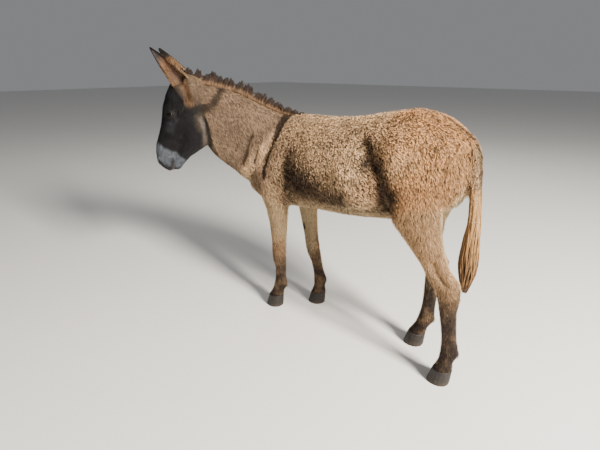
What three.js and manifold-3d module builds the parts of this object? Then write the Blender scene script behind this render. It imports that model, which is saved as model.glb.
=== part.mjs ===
// A donkey (Equus asinus) in its winter coat, life size, standing on level ground with its neck bent
// to its left and its nose low. Units are millimetres. +Z is up, the animal faces -Y and its left
// side is +X. Every solid reaches out to the tips of the coat.
//
// The body is skinned over sections, joined into one solid, and then parted by thin cuts where a
// person would name its parts. Eyes, hooves and mane are pieces of their own.
import * as THREE from "three";
import { LoftGeometry } from "three/addons/geometries/LoftGeometry.js";
import { mergeVertices } from "three/addons/utils/BufferGeometryUtils.js";
import Module from "manifold-3d";

const wasm = await Module();
wasm.setup();

// ---- Driving dimensions -------------------------------------------------------------------------

const GAP = 0.35; // air left between pieces that touch
const SIDES = { left: 1, right: -1 };
const PAIRS = ["fore", "hind"];

// Poll: the top of the head between the ears, where the head's long axis starts. Yaw is how far the
// nose is turned to the animal's left, and pitch is how far it points below level.
const HEAD = { forward: 735, left: 405, up: 1332, yaw: 44, pitch: 70 };
const EYE = { along: 190, aside: 76, dorsal: 28, radius: 22 };
const EAR = { length: 240, thickness: 8, arc: 100, along: 30, aside: 56, dorsal: 2, sunk: 0.12 };
const EAR_LEAN = { back: 0.51, out: 0.14, up: 0.85 };
const MANE = { height: 66, halfWidth: 15, root: 14 };

// How far each foot stands ahead of its neutral place and out from it, and how far the leg bows
// forward a third of the way down. The leg swings from its pivot height down.
const STANCE = {
  fore: { left: { ahead: 52, out: -8, bow: 0 }, right: { ahead: -138, out: -8, bow: 28 } },
  hind: { left: { ahead: -144, out: -12, bow: 0 }, right: { ahead: 118, out: -12, bow: 48 } },
};
const PIVOT = { fore: 720, hind: 900 };

// The horn of a foot is this high, and its sole reaches past the coronet at toe, heel and quarters.
const HOOF = { height: 77, toe: 14, heel: 2, quarter: 7, slope: 10 };

// ---- Sections -----------------------------------------------------------------------------------

// Trunk: forward and up on the back, the same on the belly, half width, squareness, fullness.
const TRUNK = [
  [648, 812, 640, 728, 60, 2, 0],
  [622, 894, 616, 672, 122, 2, 0],
  [558, 980, 554, 638, 152, 2, 0],
  [470, 1060, 470, 630, 168, 2, -0.1],
  [400, 1130, 400, 636, 184, 2, -0.15],
  [330, 1160, 330, 642, 194, 2, -0.15],
  [230, 1160, 230, 654, 208, 2.05, -0.15],
  [90, 1160, 90, 668, 226, 2.1, -0.1],
  [-50, 1170, -50, 676, 238, 2.1, -0.1],
  [-180, 1192, -176, 688, 240, 2.1, -0.1],
  [-290, 1213, -276, 704, 232, 2.05, -0.1],
  [-390, 1230, -368, 730, 224, 2, -0.12],
  [-470, 1219, -452, 754, 216, 2, -0.12],
  [-530, 1200, -516, 770, 201, 2, -0.08],
  [-582, 1168, -572, 794, 178, 2, -0.04],
  [-626, 1112, -618, 828, 138, 2, 0],
  [-654, 1020, -646, 890, 62, 2, 0],
];

// Neck: forward, left and up on the crest, the same on the throat, half width.
const NECK = [
  [262, 0, 1148, 480, 0, 700, 150],
  [340, 8, 1154, 606, 24, 732, 156],
  [414, 42, 1168, 648, 76, 764, 150],
  [480, 96, 1202, 672, 134, 800, 132],
  [540, 156, 1244, 680, 186, 840, 112],
  [598, 220, 1280, 690, 238, 876, 98],
  [650, 284, 1305, 702, 290, 924, 88],
  [696, 346, 1320, 708, 336, 984, 82],
  [728, 392, 1326, 716, 380, 1070, 68],
];

// Skull and jaw: distance along the head, dorsal and ventral outline, half width, squareness,
// fullness.
const SKULL = [
  [-30, 36, -60, 42, 2, 0],
  [6, 70, -95, 64, 2, 0.1],
  [50, 86, -120, 80, 2.1, 0.1],
  [110, 93, -130, 90, 2.2, 0.2],
  [170, 93, -130, 92, 2.2, 0.2],
  [220, 85, -115, 80, 2.2, 0.1],
  [270, 79, -95, 64, 2.2, 0],
  [325, 77, -75, 54, 2.3, 0],
  [380, 78, -62, 52, 2.4, 0],
  [428, 68, -58, 54, 2.3, 0],
  [462, 50, -56, 52, 2.2, 0],
  [486, 22, -52, 42, 2, 0],
  [499, -12, -40, 20, 2, 0],
];
const JAW = [
  [110, -50, -95, 44, 2, 0],
  [150, -60, -130, 58, 2, 0],
  [200, -60, -164, 68, 2.2, 0],
  [250, -50, -185, 70, 2.2, 0],
  [298, -45, -184, 64, 2.2, 0],
  [345, -40, -150, 50, 2.2, 0],
  [390, -36, -116, 40, 2.2, 0],
  [430, -36, -98, 38, 2.1, 0],
  [462, -40, -86, 34, 2, 0],
  [482, -48, -70, 20, 2, 0],
];

// Legs: forward, left and up in the middle of the leg, its reach in front of that and behind it,
// and its half width. The last row lies inside the horn's height, at the coronet's size.
const LEGS = {
  fore: [
    [420, 100, 950, 90, 110, 54],
    [430, 124, 850, 118, 130, 70],
    [396, 134, 750, 98, 110, 66],
    [372, 130, 650, 70, 78, 55],
    [358, 124, 550, 57, 58, 47],
    [353, 118, 440, 47, 46, 41],
    [351, 114, 368, 46, 40, 41],
    [350, 112, 318, 42, 42, 39],
    [344, 110, 272, 32, 38, 32],
    [342, 109, 215, 31, 38, 30],
    [341, 108, 166, 37, 47, 35],
    [354, 108, 118, 34, 38, 34],
    [370, 108, 74, 44, 45, 43],
  ],
  hind: [
    [-456, 92, 1110, 100, 130, 60],
    [-458, 110, 980, 148, 160, 90],
    [-450, 122, 856, 134, 150, 98],
    [-462, 128, 764, 102, 122, 96],
    [-488, 130, 682, 62, 94, 82],
    [-522, 128, 604, 46, 70, 62],
    [-552, 125, 540, 50, 60, 46],
    [-578, 122, 486, 48, 76, 42],
    [-588, 120, 436, 46, 60, 41],
    [-585, 118, 370, 39, 42, 37],
    [-582, 116, 300, 34, 39, 32],
    [-580, 115, 235, 33, 39, 31],
    [-577, 114, 180, 38, 48, 36],
    [-560, 114, 125, 34, 38, 34],
    [-542, 114, 74, 44, 45, 43],
  ],
};

// Tail: forward and up in its middle, half depth, half width.
const TAIL = [
  [-570, 1146, 30, 38],
  [-632, 1104, 32, 36],
  [-664, 1050, 28, 31],
  [-677, 980, 25, 28],
  [-683, 900, 25, 27],
  [-690, 824, 26, 27],
  [-694, 760, 30, 30],
  [-692, 690, 38, 36],
  [-690, 600, 44, 40],
  [-690, 540, 42, 36],
  [-690, 480, 28, 26],
  [-691, 425, 9, 8],
];

// Ear: half width by the share of its length from the root.
const EAR_WIDTHS = [
  [0, 38],
  [0.2, 44],
  [0.42, 39],
  [0.66, 30],
  [0.86, 18],
  [1, 4],
];

// ---- Frames and skins ---------------------------------------------------------------------------

const at = (forward, left, up) => new THREE.Vector3(left, -forward, up);
const LATERAL = at(0, 1, 0);

// Unit vectors down the face, out of its left side and out of its forehead.
function headAxes() {
  const yaw = THREE.MathUtils.degToRad(HEAD.yaw);
  const pitch = THREE.MathUtils.degToRad(HEAD.pitch);
  const heading = at(Math.cos(yaw), Math.sin(yaw), 0);
  return {
    along: heading.clone().multiplyScalar(Math.cos(pitch)).add(at(0, 0, -Math.sin(pitch))),
    aside: at(-Math.sin(yaw), Math.cos(yaw), 0),
    dorsal: heading.clone().multiplyScalar(Math.sin(pitch)).add(at(0, 0, Math.cos(pitch))),
  };
}

const head = headAxes();
const headWay = (along, aside, dorsal) =>
  new THREE.Vector3()
    .addScaledVector(head.along, along)
    .addScaledVector(head.aside, aside)
    .addScaledVector(head.dorsal, dorsal);
const inHead = (along, aside, dorsal) =>
  headWay(along, aside, dorsal).add(at(HEAD.forward, HEAD.left, HEAD.up));

const power = (value, squareness) => Math.sign(value) * Math.abs(value) ** (2 / squareness);

// One ring of points, anticlockwise about half x side. Squareness 2 is an ellipse and more is
// boxier. Fullness moves the widest level towards the back (+) or the belly (-).
function ring(middle, half, side, sides, squareness, fullness = 0) {
  return Array.from({ length: sides }, (_, i) => {
    const turn = (2 * Math.PI * i) / sides;
    const high = power(Math.cos(turn), squareness);
    return middle
      .clone()
      .addScaledVector(half, high + fullness * (1 - high * high))
      .addScaledVector(side, power(Math.sin(turn), squareness));
  });
}

const loft = (sections) => solid(new LoftGeometry(sections, { capStart: true, capEnd: true }));

// Skins rows of { back, belly, wide, square, full }: the two outline points of a section, its half
// width, squareness and fullness. Smooth curves through the rows give `fine` sections per row.
function skin(rows, sides, fine = 1) {
  const line = (key) => new THREE.CatmullRomCurve3(rows.map((row) => row[key]), false, "centripetal");
  const size = (key, plain) =>
    new THREE.SplineCurve(rows.map((row, i) => new THREE.Vector2(i, row[key] ?? plain)));
  const [back, belly] = [line("back"), line("belly")];
  const [wide, square, full] = [size("wide"), size("square", 2), size("full", 0)];
  const middle = (t) => back.getPoint(t).add(belly.getPoint(t)).multiplyScalar(0.5);
  const steps = (rows.length - 1) * fine;
  const reach = 0.1 / steps;
  return loft(
    Array.from({ length: steps + 1 }, (_, i) => {
      const t = i / steps;
      const half = back.getPoint(t).sub(belly.getPoint(t)).multiplyScalar(0.5);
      const way = middle(Math.min(1, t + reach)).sub(middle(Math.max(0, t - reach)));
      const side = way.cross(half).setLength(wide.getPoint(t).y);
      return ring(middle(t), half, side, sides, square.getPoint(t).y, full.getPoint(t).y);
    }),
  );
}

// ---- Solids -------------------------------------------------------------------------------------

function solid(geometry) {
  const bare = new THREE.BufferGeometry().copy(geometry);
  for (const name of ["normal", "uv"]) bare.deleteAttribute(name);
  const merged = mergeVertices(bare, 1e-3);
  const corners = merged.index.array;
  const kept = [];
  for (let i = 0; i < corners.length; i += 3) {
    const [a, b, c] = corners.slice(i, i + 3);
    if (a !== b && b !== c && c !== a) kept.push(a, b, c);
  }
  const vertProperties = merged.attributes.position.array;
  const made = (triVerts) =>
    new wasm.Manifold(new wasm.Mesh({ numProp: 3, vertProperties, triVerts: new Uint32Array(triVerts) }));
  const first = made(kept);
  return first.volume() < 0 ? made(kept.reverse()) : first; // a mirrored block comes inside out
}

const joined = (solids) => solids.reduce((all, one) => all.add(one));

function geometryOf(manifold) {
  const mesh = manifold.getMesh();
  const geometry = new THREE.BufferGeometry();
  geometry.setAttribute("position", new THREE.BufferAttribute(mesh.vertProperties, 3));
  geometry.setIndex(new THREE.BufferAttribute(mesh.triVerts, 1));
  return geometry;
}

// An ellipsoid in the head, with its half sizes along, aside and dorsally.
function headBall(middle, halves, detail = [8, 6]) {
  const basis = new THREE.Matrix4().makeBasis(head.along, head.aside, head.dorsal);
  const ball = new THREE.SphereGeometry(1, ...detail).scale(...halves);
  return solid(ball.applyMatrix4(basis).translate(...middle));
}

// A block that starts at a plane and reaches on along its normal, to take a part off the body.
// Grown, it starts that much earlier.
function beyond(point, normal, grown, [long, wide, deep]) {
  const z = normal.clone().normalize();
  const x = at(0, 0, 1).cross(z).normalize();
  const basis = new THREE.Matrix4().makeBasis(x, z.clone().cross(x), z);
  const block = new THREE.BoxGeometry(wide, deep, long).translate(0, 0, long / 2 - grown);
  return solid(block.applyMatrix4(basis).translate(...point));
}

// A block under a roof that rises outwards, and to the rear as stated, to take a leg off the body.
function legBlock({ inner, outer, floor, front, rear, roof, outwards, rearwards }, side, grown) {
  const near = inner - grown;
  const shape = new THREE.Shape([
    new THREE.Vector2(near, floor),
    new THREE.Vector2(outer, floor),
    new THREE.Vector2(outer, roof + outer * outwards + grown),
    new THREE.Vector2(near, roof + near * outwards + grown),
  ]);
  const depth = front - rear + 2 * grown;
  const block = new THREE.ExtrudeGeometry(shape, { depth, bevelEnabled: false });
  const shear = new THREE.Matrix4().makeBasis(at(0, side, 0), at(0, 0, 1), at(1, 0, -rearwards));
  shear.setPosition(at(rear - grown, 0, (front - rear) * rearwards));
  return solid(block.applyMatrix4(shear));
}

// ---- Trunk and neck -----------------------------------------------------------------------------

const trunk = () =>
  skin(
    TRUNK.map(([backForward, backUp, bellyForward, bellyUp, wide, square, full]) => ({
      back: at(backForward, 0, backUp),
      belly: at(bellyForward, 0, bellyUp),
      wide,
      square,
      full,
    })),
    26,
  );

const neck = () =>
  skin(
    NECK.map((row) => ({
      back: at(...row.slice(0, 3)),
      belly: at(...row.slice(3, 6)),
      wide: row[6],
      square: 2.2,
      full: -0.12,
    })),
    20,
    2,
  );

// ---- Head ---------------------------------------------------------------------------------------

const headSkin = (rows, sides) =>
  skin(
    rows.map(([along, dorsal, ventral, wide, square, full]) => ({
      back: inHead(along, 0, dorsal),
      belly: inHead(along, 0, ventral),
      wide,
      square,
      full,
    })),
    sides,
  );

const headMasses = (side) => [
  headBall(inHead(176, side * 64, 44), [40, 22, 22]), // brow over the eye
  headBall(inHead(206, side * 44, -84), [84, 34, 78], [12, 6]), // cheek
  headBall(inHead(448, side * 32, 22), [32, 23, 24]), // nostril
];

const eyeball = (side, grown) =>
  headBall(
    inHead(EYE.along, side * EYE.aside, EYE.dorsal),
    [1, 1, 1].map(() => EYE.radius + grown),
    [12, 6],
  );

const earWay = (side) => headWay(-EAR_LEAN.back, side * EAR_LEAN.out, EAR_LEAN.up).normalize();

// A cupped leaf: crescent sections that open sideways, broad a third of the way up.
function ear(side) {
  const way = earWay(side);
  const root = inHead(EAR.along, side * EAR.aside, EAR.dorsal);
  const open = headWay(0, side, 0).projectOnPlane(way).normalize();
  const across = way.clone().cross(open);
  const widths = new THREE.SplineCurve(EAR_WIDTHS.map((point) => new THREE.Vector2(...point)));
  const [steps, count] = [11, 8];
  const shares = Array.from({ length: count }, (_, i) => 1 - (2 * i) / (count - 1));
  return loft(
    Array.from({ length: steps + 1 }, (_, i) => {
      const t = i / steps;
      const wide = widths.getPoint(t).y;
      const deep = wide * (0.95 - 0.45 * t);
      const thin = Math.min(EAR.thickness, deep * 0.6);
      const middle = root.clone().addScaledVector(way, EAR.length * (t + EAR.sunk * (t - 1)));
      const onArc = (share, inset) => {
        const turn = THREE.MathUtils.degToRad(EAR.arc * share);
        return middle
          .clone()
          .addScaledVector(open, -(deep - inset) * Math.cos(turn))
          .addScaledVector(across, (wide - inset) * Math.sin(turn));
      };
      return [...shares.map((share) => onArc(share, 0)), ...shares.map((share) => onArc(-share, thin))];
    }),
  );
}

// ---- Legs and hooves ----------------------------------------------------------------------------

// The middle line of a leg as it stands.
function legLine(pair, name) {
  const { ahead, out, bow } = STANCE[pair][name];
  return LEGS[pair].map(([forward, left, up]) => {
    const share = Math.max(0, 1 - up / PIVOT[pair]);
    const swing = ahead * share + bow * (27 / 4) * share * (1 - share) ** 2;
    return at(forward + swing, SIDES[name] * (left + out * share), up);
  });
}

function leg(pair, name) {
  const line = legLine(pair, name);
  const last = line.length - 1;
  return skin(
    line.map((middle, i) => {
      const upwards = line[Math.max(i - 1, 0)].clone().sub(line[Math.min(i + 1, last)]);
      const front = i === last ? at(1, 0, 0) : LATERAL.clone().cross(upwards).normalize();
      const [reach, behind, wide] = LEGS[pair][i].slice(3);
      return {
        back: middle.clone().addScaledVector(front, reach),
        belly: middle.clone().addScaledVector(front, -behind),
        wide,
        square: 2.15,
      };
    }),
    16,
  );
}

// The horn of the foot, from a flat sole up to the coronet.
function hoof(pair, name) {
  const coronet = legLine(pair, name).at(-1);
  const [reach, behind, wide] = LEGS[pair].at(-1).slice(3);
  return loft(
    [1, 0.66, 0.33, 0].map((low) => {
      const front = reach + HOOF.toe * low;
      const rear = behind + HOOF.heel * low;
      const middle = coronet.clone().setZ((HOOF.height - GAP) * (1 - low));
      middle.add(at((front - rear) / 2 + HOOF.slope * low, 0, 0));
      const half = at((front + rear) / 2, 0, 0);
      return ring(middle, half, at(0, wide + HOOF.quarter * low, 0), 16, 2.1);
    }),
  );
}

// All the space below the coronets, which the horn fills.
function hoofSpace() {
  const [wide, long] = [1000, 2000];
  return solid(new THREE.BoxGeometry(wide, long, HOOF.height).translate(0, 0, HOOF.height / 2));
}

// ---- Tail and mane ------------------------------------------------------------------------------

function tail() {
  const last = TAIL.length - 1;
  return skin(
    TAIL.map(([forward, up, deep, wide], i) => {
      const [fromForward, fromUp] = TAIL[Math.max(i - 1, 0)];
      const [toForward, toUp] = TAIL[Math.min(i + 1, last)];
      const way = new THREE.Vector2(toForward - fromForward, toUp - fromUp).setLength(deep);
      return {
        back: at(forward + way.y, 0, up - way.x),
        belly: at(forward - way.y, 0, up + way.x),
        wide,
      };
    }),
    12,
  );
}

// The upright mane stands on the crest from the withers to the forelock, with its root in the neck.
// It is lower at both ends, and narrower at the withers.
function mane(grown = 0) {
  const crest = new THREE.CatmullRomCurve3(
    [at(290, 0, 1150), ...NECK.slice(1).map((row) => at(...row.slice(0, 3))), inHead(16, 0, 74)],
    false,
    "centripetal",
  );
  const steps = 14;
  return skin(
    Array.from({ length: steps + 1 }, (_, i) => {
      const t = i / steps;
      const height = MANE.height * Math.min(1, 0.1 + 2.2 * t, 0.85 + 2 * (1 - t));
      return {
        back: crest.getPoint(t).add(at(0, 0, height + grown)),
        belly: crest.getPoint(t).add(at(0, 0, -MANE.root - grown)),
        wide: MANE.halfWidth * Math.min(1, 0.6 + 1.2 * t) + grown,
        square: 2.6,
        full: -0.2,
      };
    }),
    10,
  );
}

// ---- The whole animal ---------------------------------------------------------------------------

const MATERIALS = {
  coat: { color: 0x8a7562, roughness: 0.9 },
  legCoat: { color: 0xa08d76, roughness: 0.9 },
  face: { color: 0x5e5049, roughness: 0.88 },
  ear: { color: 0x8a6548, roughness: 0.9 },
  mane: { color: 0x43302a, roughness: 0.85 },
  switch: { color: 0x9a7550, roughness: 0.85 },
  horn: { color: 0x4a4038, roughness: 0.6 },
  eye: { color: 0x120c0a, roughness: 0.12 },
};

// The blocks that the legs stand in reach out past the flanks and down past the soles.
const LEG_SPACE = { outer: 400, floor: -600 };
const LEG_BLOCKS = {
  fore: { ...LEG_SPACE, inner: 52, front: 530, rear: 150, roof: 618, outwards: 0.7, rearwards: -0.25 },
  hind: {
    ...LEG_SPACE,
    inner: GAP / 2,
    front: -290,
    rear: -900,
    roof: 660,
    outwards: 0.35,
    rearwards: 0.42,
  },
};

// The parts in the order they are taken off the body: a name, a material and the block that holds
// the part. What is left over is the trunk.
const PARTS = [
  ...Object.entries(SIDES).map(([name, side]) => [
    `ear_${name}`,
    "ear",
    (grown) => beyond(inHead(-2, side * 62, 62), earWay(side), grown, [340, 120, 150]),
  ]),
  ["tail_switch", "switch", (grown) => beyond(at(-707, 0, 770), at(-0.001, 0, -1), grown, [500, 92, 126])],
  ["tail_dock", "coat", (grown) => beyond(at(-661, 0, 980), at(-1, 0, 0), grown, [300, 120, 440])],
  ["head", "face", (grown) => beyond(inHead(-20, 0, -44), headWay(0.5, 0, 0.86), grown, [700, 640, 1040])],
  ["neck", "coat", (grown) => beyond(at(600, 0, 862), at(0.74, 0.1, 0.66), grown, [900, 1200, 900])],
  ...PAIRS.flatMap((pair) =>
    Object.entries(SIDES).map(([name, side]) => [
      `${pair}leg_${name}`,
      "legCoat",
      (grown) => legBlock(LEG_BLOCKS[pair], side, grown),
    ]),
  ),
];

const group = new THREE.Group();

function add(name, manifold, material) {
  const mesh = new THREE.Mesh(
    geometryOf(manifold),
    new THREE.MeshStandardMaterial({ ...MATERIALS[material], metalness: 0 }),
  );
  mesh.name = name;
  group.add(mesh);
}

const flesh = joined([
  trunk(),
  neck(),
  headSkin(SKULL, 22),
  headSkin(JAW, 16),
  ...Object.values(SIDES).flatMap((side) => [...headMasses(side), ear(side)]),
  ...PAIRS.flatMap((pair) => Object.keys(SIDES).map((name) => leg(pair, name))),
  tail(),
]);
const hollows = [mane(GAP), hoofSpace(), ...Object.values(SIDES).map((side) => eyeball(side, GAP))];

let body = hollows.reduce((rest, hollow) => rest.subtract(hollow), flesh);
for (const [name, material, block] of PARTS) {
  add(name, body.intersect(block(0)), material);
  body = body.subtract(block(GAP));
}
add("trunk", body, "coat");
add("mane", mane(), "mane");
for (const [name, side] of Object.entries(SIDES)) {
  add(`eye_${name}`, eyeball(side, 0), "eye");
  for (const pair of PAIRS) add(`hoof_${pair}_${name}`, hoof(pair, name), "horn");
}

// The origin is on the ground under the middle of the whole animal.
const box = new THREE.Box3().setFromObject(group);
const centre = box.getCenter(new THREE.Vector3());
group.position.set(-centre.x, -centre.y, -box.min.z);

export default group;
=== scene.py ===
"""A life-size donkey in its winter coat, around the CAD frame. Lengths are in metres.

One skin stands for all nodes of flesh. Over it lies the coat, in locks of solid mesh. Eyes, hooves,
mane and the tail's long hair are pieces of their own.
"""

import math

import bmesh
import bpy
import numpy as np
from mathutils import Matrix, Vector, noise
from mathutils.bvhtree import BVHTree
from mathutils.kdtree import KDTree


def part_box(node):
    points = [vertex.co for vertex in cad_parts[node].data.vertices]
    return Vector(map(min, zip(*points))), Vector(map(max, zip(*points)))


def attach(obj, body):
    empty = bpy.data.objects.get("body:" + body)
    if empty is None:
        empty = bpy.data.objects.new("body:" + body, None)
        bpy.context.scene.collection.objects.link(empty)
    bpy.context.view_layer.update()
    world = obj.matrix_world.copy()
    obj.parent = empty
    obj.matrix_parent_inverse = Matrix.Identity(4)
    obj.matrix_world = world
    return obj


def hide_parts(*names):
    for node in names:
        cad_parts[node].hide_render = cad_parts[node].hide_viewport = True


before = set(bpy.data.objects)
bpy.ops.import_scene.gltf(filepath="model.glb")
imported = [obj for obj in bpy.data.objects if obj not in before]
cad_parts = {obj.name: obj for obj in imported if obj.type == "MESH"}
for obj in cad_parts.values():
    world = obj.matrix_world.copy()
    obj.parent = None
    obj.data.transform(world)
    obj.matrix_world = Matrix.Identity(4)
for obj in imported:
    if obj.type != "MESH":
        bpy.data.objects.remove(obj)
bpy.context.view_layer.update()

SIDES = {"left": 1, "right": -1}
PAIRS = ("fore", "hind")
LEGS = [f"{pair}leg_{side}" for pair in PAIRS for side in SIDES]
FLESH = ["trunk", "neck", "head", "tail_dock", *LEGS]
EARS = [f"ear_{side}" for side in SIDES]
UP = np.array((0.0, 0.0, 1.0))
rng = np.random.default_rng(11)


# ---- Small helpers ----


def unit(vectors):
    return vectors / np.maximum(np.linalg.norm(vectors, axis=-1, keepdims=True), 1e-12)


def smoothstep(low, high, values):
    share = np.clip((values - low) / (high - low), 0, 1)
    return share * share * (3 - 2 * share)


def hump(distance):
    """1 in the middle, falling to nothing at about twice the radius."""
    return np.exp(-distance * distance)


def spline(points, shares):
    """A smooth curve through points, evenly spaced in its parameter from 0 to 1."""
    points = np.asarray(points, float)
    place = np.clip(shares, 0, 1) * (len(points) - 1)
    first = np.clip(place.astype(int), 0, len(points) - 2)
    a, b, c, d = (points[np.clip(first + k, 0, len(points) - 1)] for k in (-1, 0, 1, 2))
    t = (place - first)[:, None] if points.ndim > 1 else place - first
    return b + t / 2 * (c - a + t * (2 * a - 5 * b + 4 * c - d + t * (3 * (b - c) + d - a)))


def rough(points, size, octaves=2):
    """Smooth noise from -1 to 1 with features of about the given size."""
    return np.array([noise.fractal(Vector(p), 1.0, 2.0, octaves) for p in points / size])


def linear(red, green, blue):
    """A screen colour, 0 to 255, as linear light."""
    screen = np.array((red, green, blue)) / 255
    return np.where(screen <= 0.04045, screen / 12.92, ((screen + 0.055) / 1.055) ** 2.4)


def mixed(first, second, share):
    return first + (second - first) * np.asarray(share)[..., None]


def painted(colour, *layers):
    """Lays shades over a colour, each with its share."""
    for shade, share in layers:
        colour = mixed(colour, shade, share)
    return colour


# ---- Frames of reference ----

# The body's origin is on the ground under the middle of the back, where the CAD measures from.
TAIL_REACH = 0.734
tail_low, tail_high = (np.array(corner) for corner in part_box("tail_switch"))
ORIGIN = np.array(((tail_low[0] + tail_high[0]) / 2, tail_high[1] - TAIL_REACH, 0.0))


def at(forward, left, up):
    return ORIGIN + np.array((left, -forward, up))


def body_coords(points):
    """Forward, left and up of points, seen from the body's origin."""
    away = points - ORIGIN
    return -away[:, 1], away[:, 0], away[:, 2]


EYES = {side: np.mean([np.array(corner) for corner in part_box(f"eye_{side}")], axis=0) for side in SIDES}
EYE_RADIUS = 0.022
EYE_ALONG, EYE_DORSAL = 0.19, 0.028
HEAD_PITCH = math.radians(70)
ASIDE = unit(EYES["left"] - EYES["right"])
HEADING = np.array((ASIDE[1], -ASIDE[0], 0.0))
ALONG = HEADING * math.cos(HEAD_PITCH) - UP * math.sin(HEAD_PITCH)
DORSAL = HEADING * math.sin(HEAD_PITCH) + UP * math.cos(HEAD_PITCH)
HEAD = np.array((ALONG, ASIDE, DORSAL))
POLL = (EYES["left"] + EYES["right"]) / 2 - EYE_ALONG * ALONG - EYE_DORSAL * DORSAL


def in_head(along, aside, dorsal):
    return POLL + np.array((along, aside, dorsal)) @ HEAD


def head_coords(points):
    """Along the face from the poll, out of its left side, and dorsally."""
    return ((points - POLL) @ HEAD.T).T


def folded(coords):
    """Coordinates as one row a point, with the second made the same on both sides."""
    first, second, third = coords
    return np.stack((first, np.abs(second), third), axis=1)


# ---- Meshes and nets ----


def solid_of(node):
    """A CAD node's corners and triangles, welded."""
    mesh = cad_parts[node].data
    points, corners = points_of(mesh), triangles_of(mesh)
    _, kept, place = np.unique(np.round(points, 6), axis=0, return_index=True, return_inverse=True)
    return points[kept], place.reshape(-1)[corners]


def corner_normals(points, triangles):
    """Area-weighted normals at a mesh's corners."""
    a, b, c = (points[triangles[:, k]] for k in range(3))
    across = np.cross(b - a, c - a)
    total = np.zeros_like(points)
    for k in range(3):
        np.add.at(total, triangles[:, k], across)
    return unit(total)


def link(name, mesh):
    piece = bpy.data.objects.new(name, mesh)
    bpy.context.scene.collection.objects.link(piece)
    return piece


def mesh_of(name, points, faces):
    """A mesh from an array of points and arrays of faces with three or four corners."""
    mesh = bpy.data.meshes.new(name)
    faces = [np.asarray(group) for group in (faces if isinstance(faces, list) else [faces])]
    mesh.vertices.add(len(points))
    mesh.vertices.foreach_set("co", np.ascontiguousarray(points, np.float32).ravel())
    mesh.loops.add(sum(group.size for group in faces))
    mesh.loops.foreach_set("vertex_index", np.concatenate([group.ravel() for group in faces]))
    totals = np.concatenate([np.full(len(group), group.shape[1]) for group in faces])
    mesh.polygons.add(len(totals))
    mesh.polygons.foreach_set("loop_start", np.concatenate(([0], np.cumsum(totals)[:-1])))
    mesh.update(calc_edges=True)
    mesh.shade_smooth()
    return mesh


def rows_of(items, name, columns=3, kind=float):
    """A mesh's own values as an array, with one row for each of its items."""
    values = np.empty(len(items) * columns, kind)
    items.foreach_get(name, values)
    return values.reshape(-1, columns)


def grid(first, second):
    return np.meshgrid(first, second, indexing="ij")


def turns(count):
    """Angles spread evenly round a full circle."""
    return np.linspace(0, 2 * math.pi, count, endpoint=False)


def tube_sides(rows, columns):
    """Four-cornered faces between the rings of a tube."""
    row, column = grid(np.arange(rows - 1), np.arange(columns))
    a, b = row * columns + column, row * columns + (column + 1) % columns
    return np.stack((a, b, b + columns, a + columns), axis=-1).reshape(-1, 4)


def tube(name, rings, colours):
    """A closed tube through rings of points, with flat ends."""
    rows, columns = rings.shape[:2]
    end = np.arange(columns)[None]
    faces = [tube_sides(rows, columns), end[:, ::-1], end + (rows - 1) * columns]
    made = mesh_of(name, rings.reshape(-1, 3), faces)
    colour_points(made, colours)
    return made


def points_of(mesh):
    return rows_of(mesh.vertices, "co")


def put_points(mesh, points):
    mesh.vertices.foreach_set("co", np.ascontiguousarray(points, np.float32).ravel())
    mesh.update()


def normals_of(mesh):
    return rows_of(mesh.vertex_normals, "vector")


def triangles_of(mesh):
    mesh.calc_loop_triangles()
    return rows_of(mesh.loop_triangles, "vertices", kind=int)


class Net:
    """A mesh's edges, for averaging values over neighbouring points."""

    def __init__(self, mesh):
        edges = rows_of(mesh.edges, "vertices", 2, int)
        ends = np.concatenate((edges, edges[:, ::-1]))
        ends = ends[np.argsort(ends[:, 0], kind="stable")]
        self.near = ends[:, 1]
        self.start = np.searchsorted(ends[:, 0], np.arange(len(mesh.vertices)))
        self.share = 1 / np.bincount(ends[:, 0], minlength=len(mesh.vertices))[:, None]

    def spread(self, values, times, share=0.5):
        for _ in range(times):
            mean = np.add.reduceat(values[self.near], self.start, axis=0) * self.share
            values = values + (mean - values) * share
        return values

    def even(self, points, times):
        """Smooths a surface without shrinking it."""
        for _ in range(times):
            points = self.spread(points, 1, 0.5)
            points = self.spread(points, 1, -0.52)
        return points


def colour_points(mesh, colours):
    tint = mesh.color_attributes.new("tint", "FLOAT_COLOR", "POINT")
    rgba = np.ones((len(colours), 4), np.float32)
    rgba[:, :3] = colours
    tint.data.foreach_set("color", rgba.ravel())


# ---- The skin's first shape ----

VOXEL = 0.008
SWELL = 0.0006  # more than the CAD's cuts, so that the parts flow together


def joined_solids(nodes, swell):
    """Several CAD nodes in one, swollen a little: points, triangles and the place of each one's node."""
    points, triangles, owner, count = [], [], [], 0
    for index, node in enumerate(nodes):
        corners, faces = solid_of(node)
        points.append(corners + swell * corner_normals(corners, faces))
        triangles.append(faces + count)
        owner.append(np.full(len(faces), index))
        count += len(corners)
    return [np.concatenate(parts) for parts in (points, triangles, owner)]


def remeshed(mesh, voxel):
    rough_piece = link("flesh", mesh)
    remesh = rough_piece.modifiers.new("voxels", "REMESH")
    remesh.mode = "VOXEL"
    remesh.voxel_size = voxel
    whole = bpy.data.meshes.new_from_object(
        rough_piece.evaluated_get(bpy.context.evaluated_depsgraph_get())
    )
    bpy.data.objects.remove(rough_piece)
    whole.materials.clear()
    return whole


def edited(mesh, change):
    """Opens a mesh for editing, makes one change and writes it back."""
    made = bmesh.new()
    made.from_mesh(mesh)
    change(made)
    made.to_mesh(mesh)
    made.free()


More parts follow.
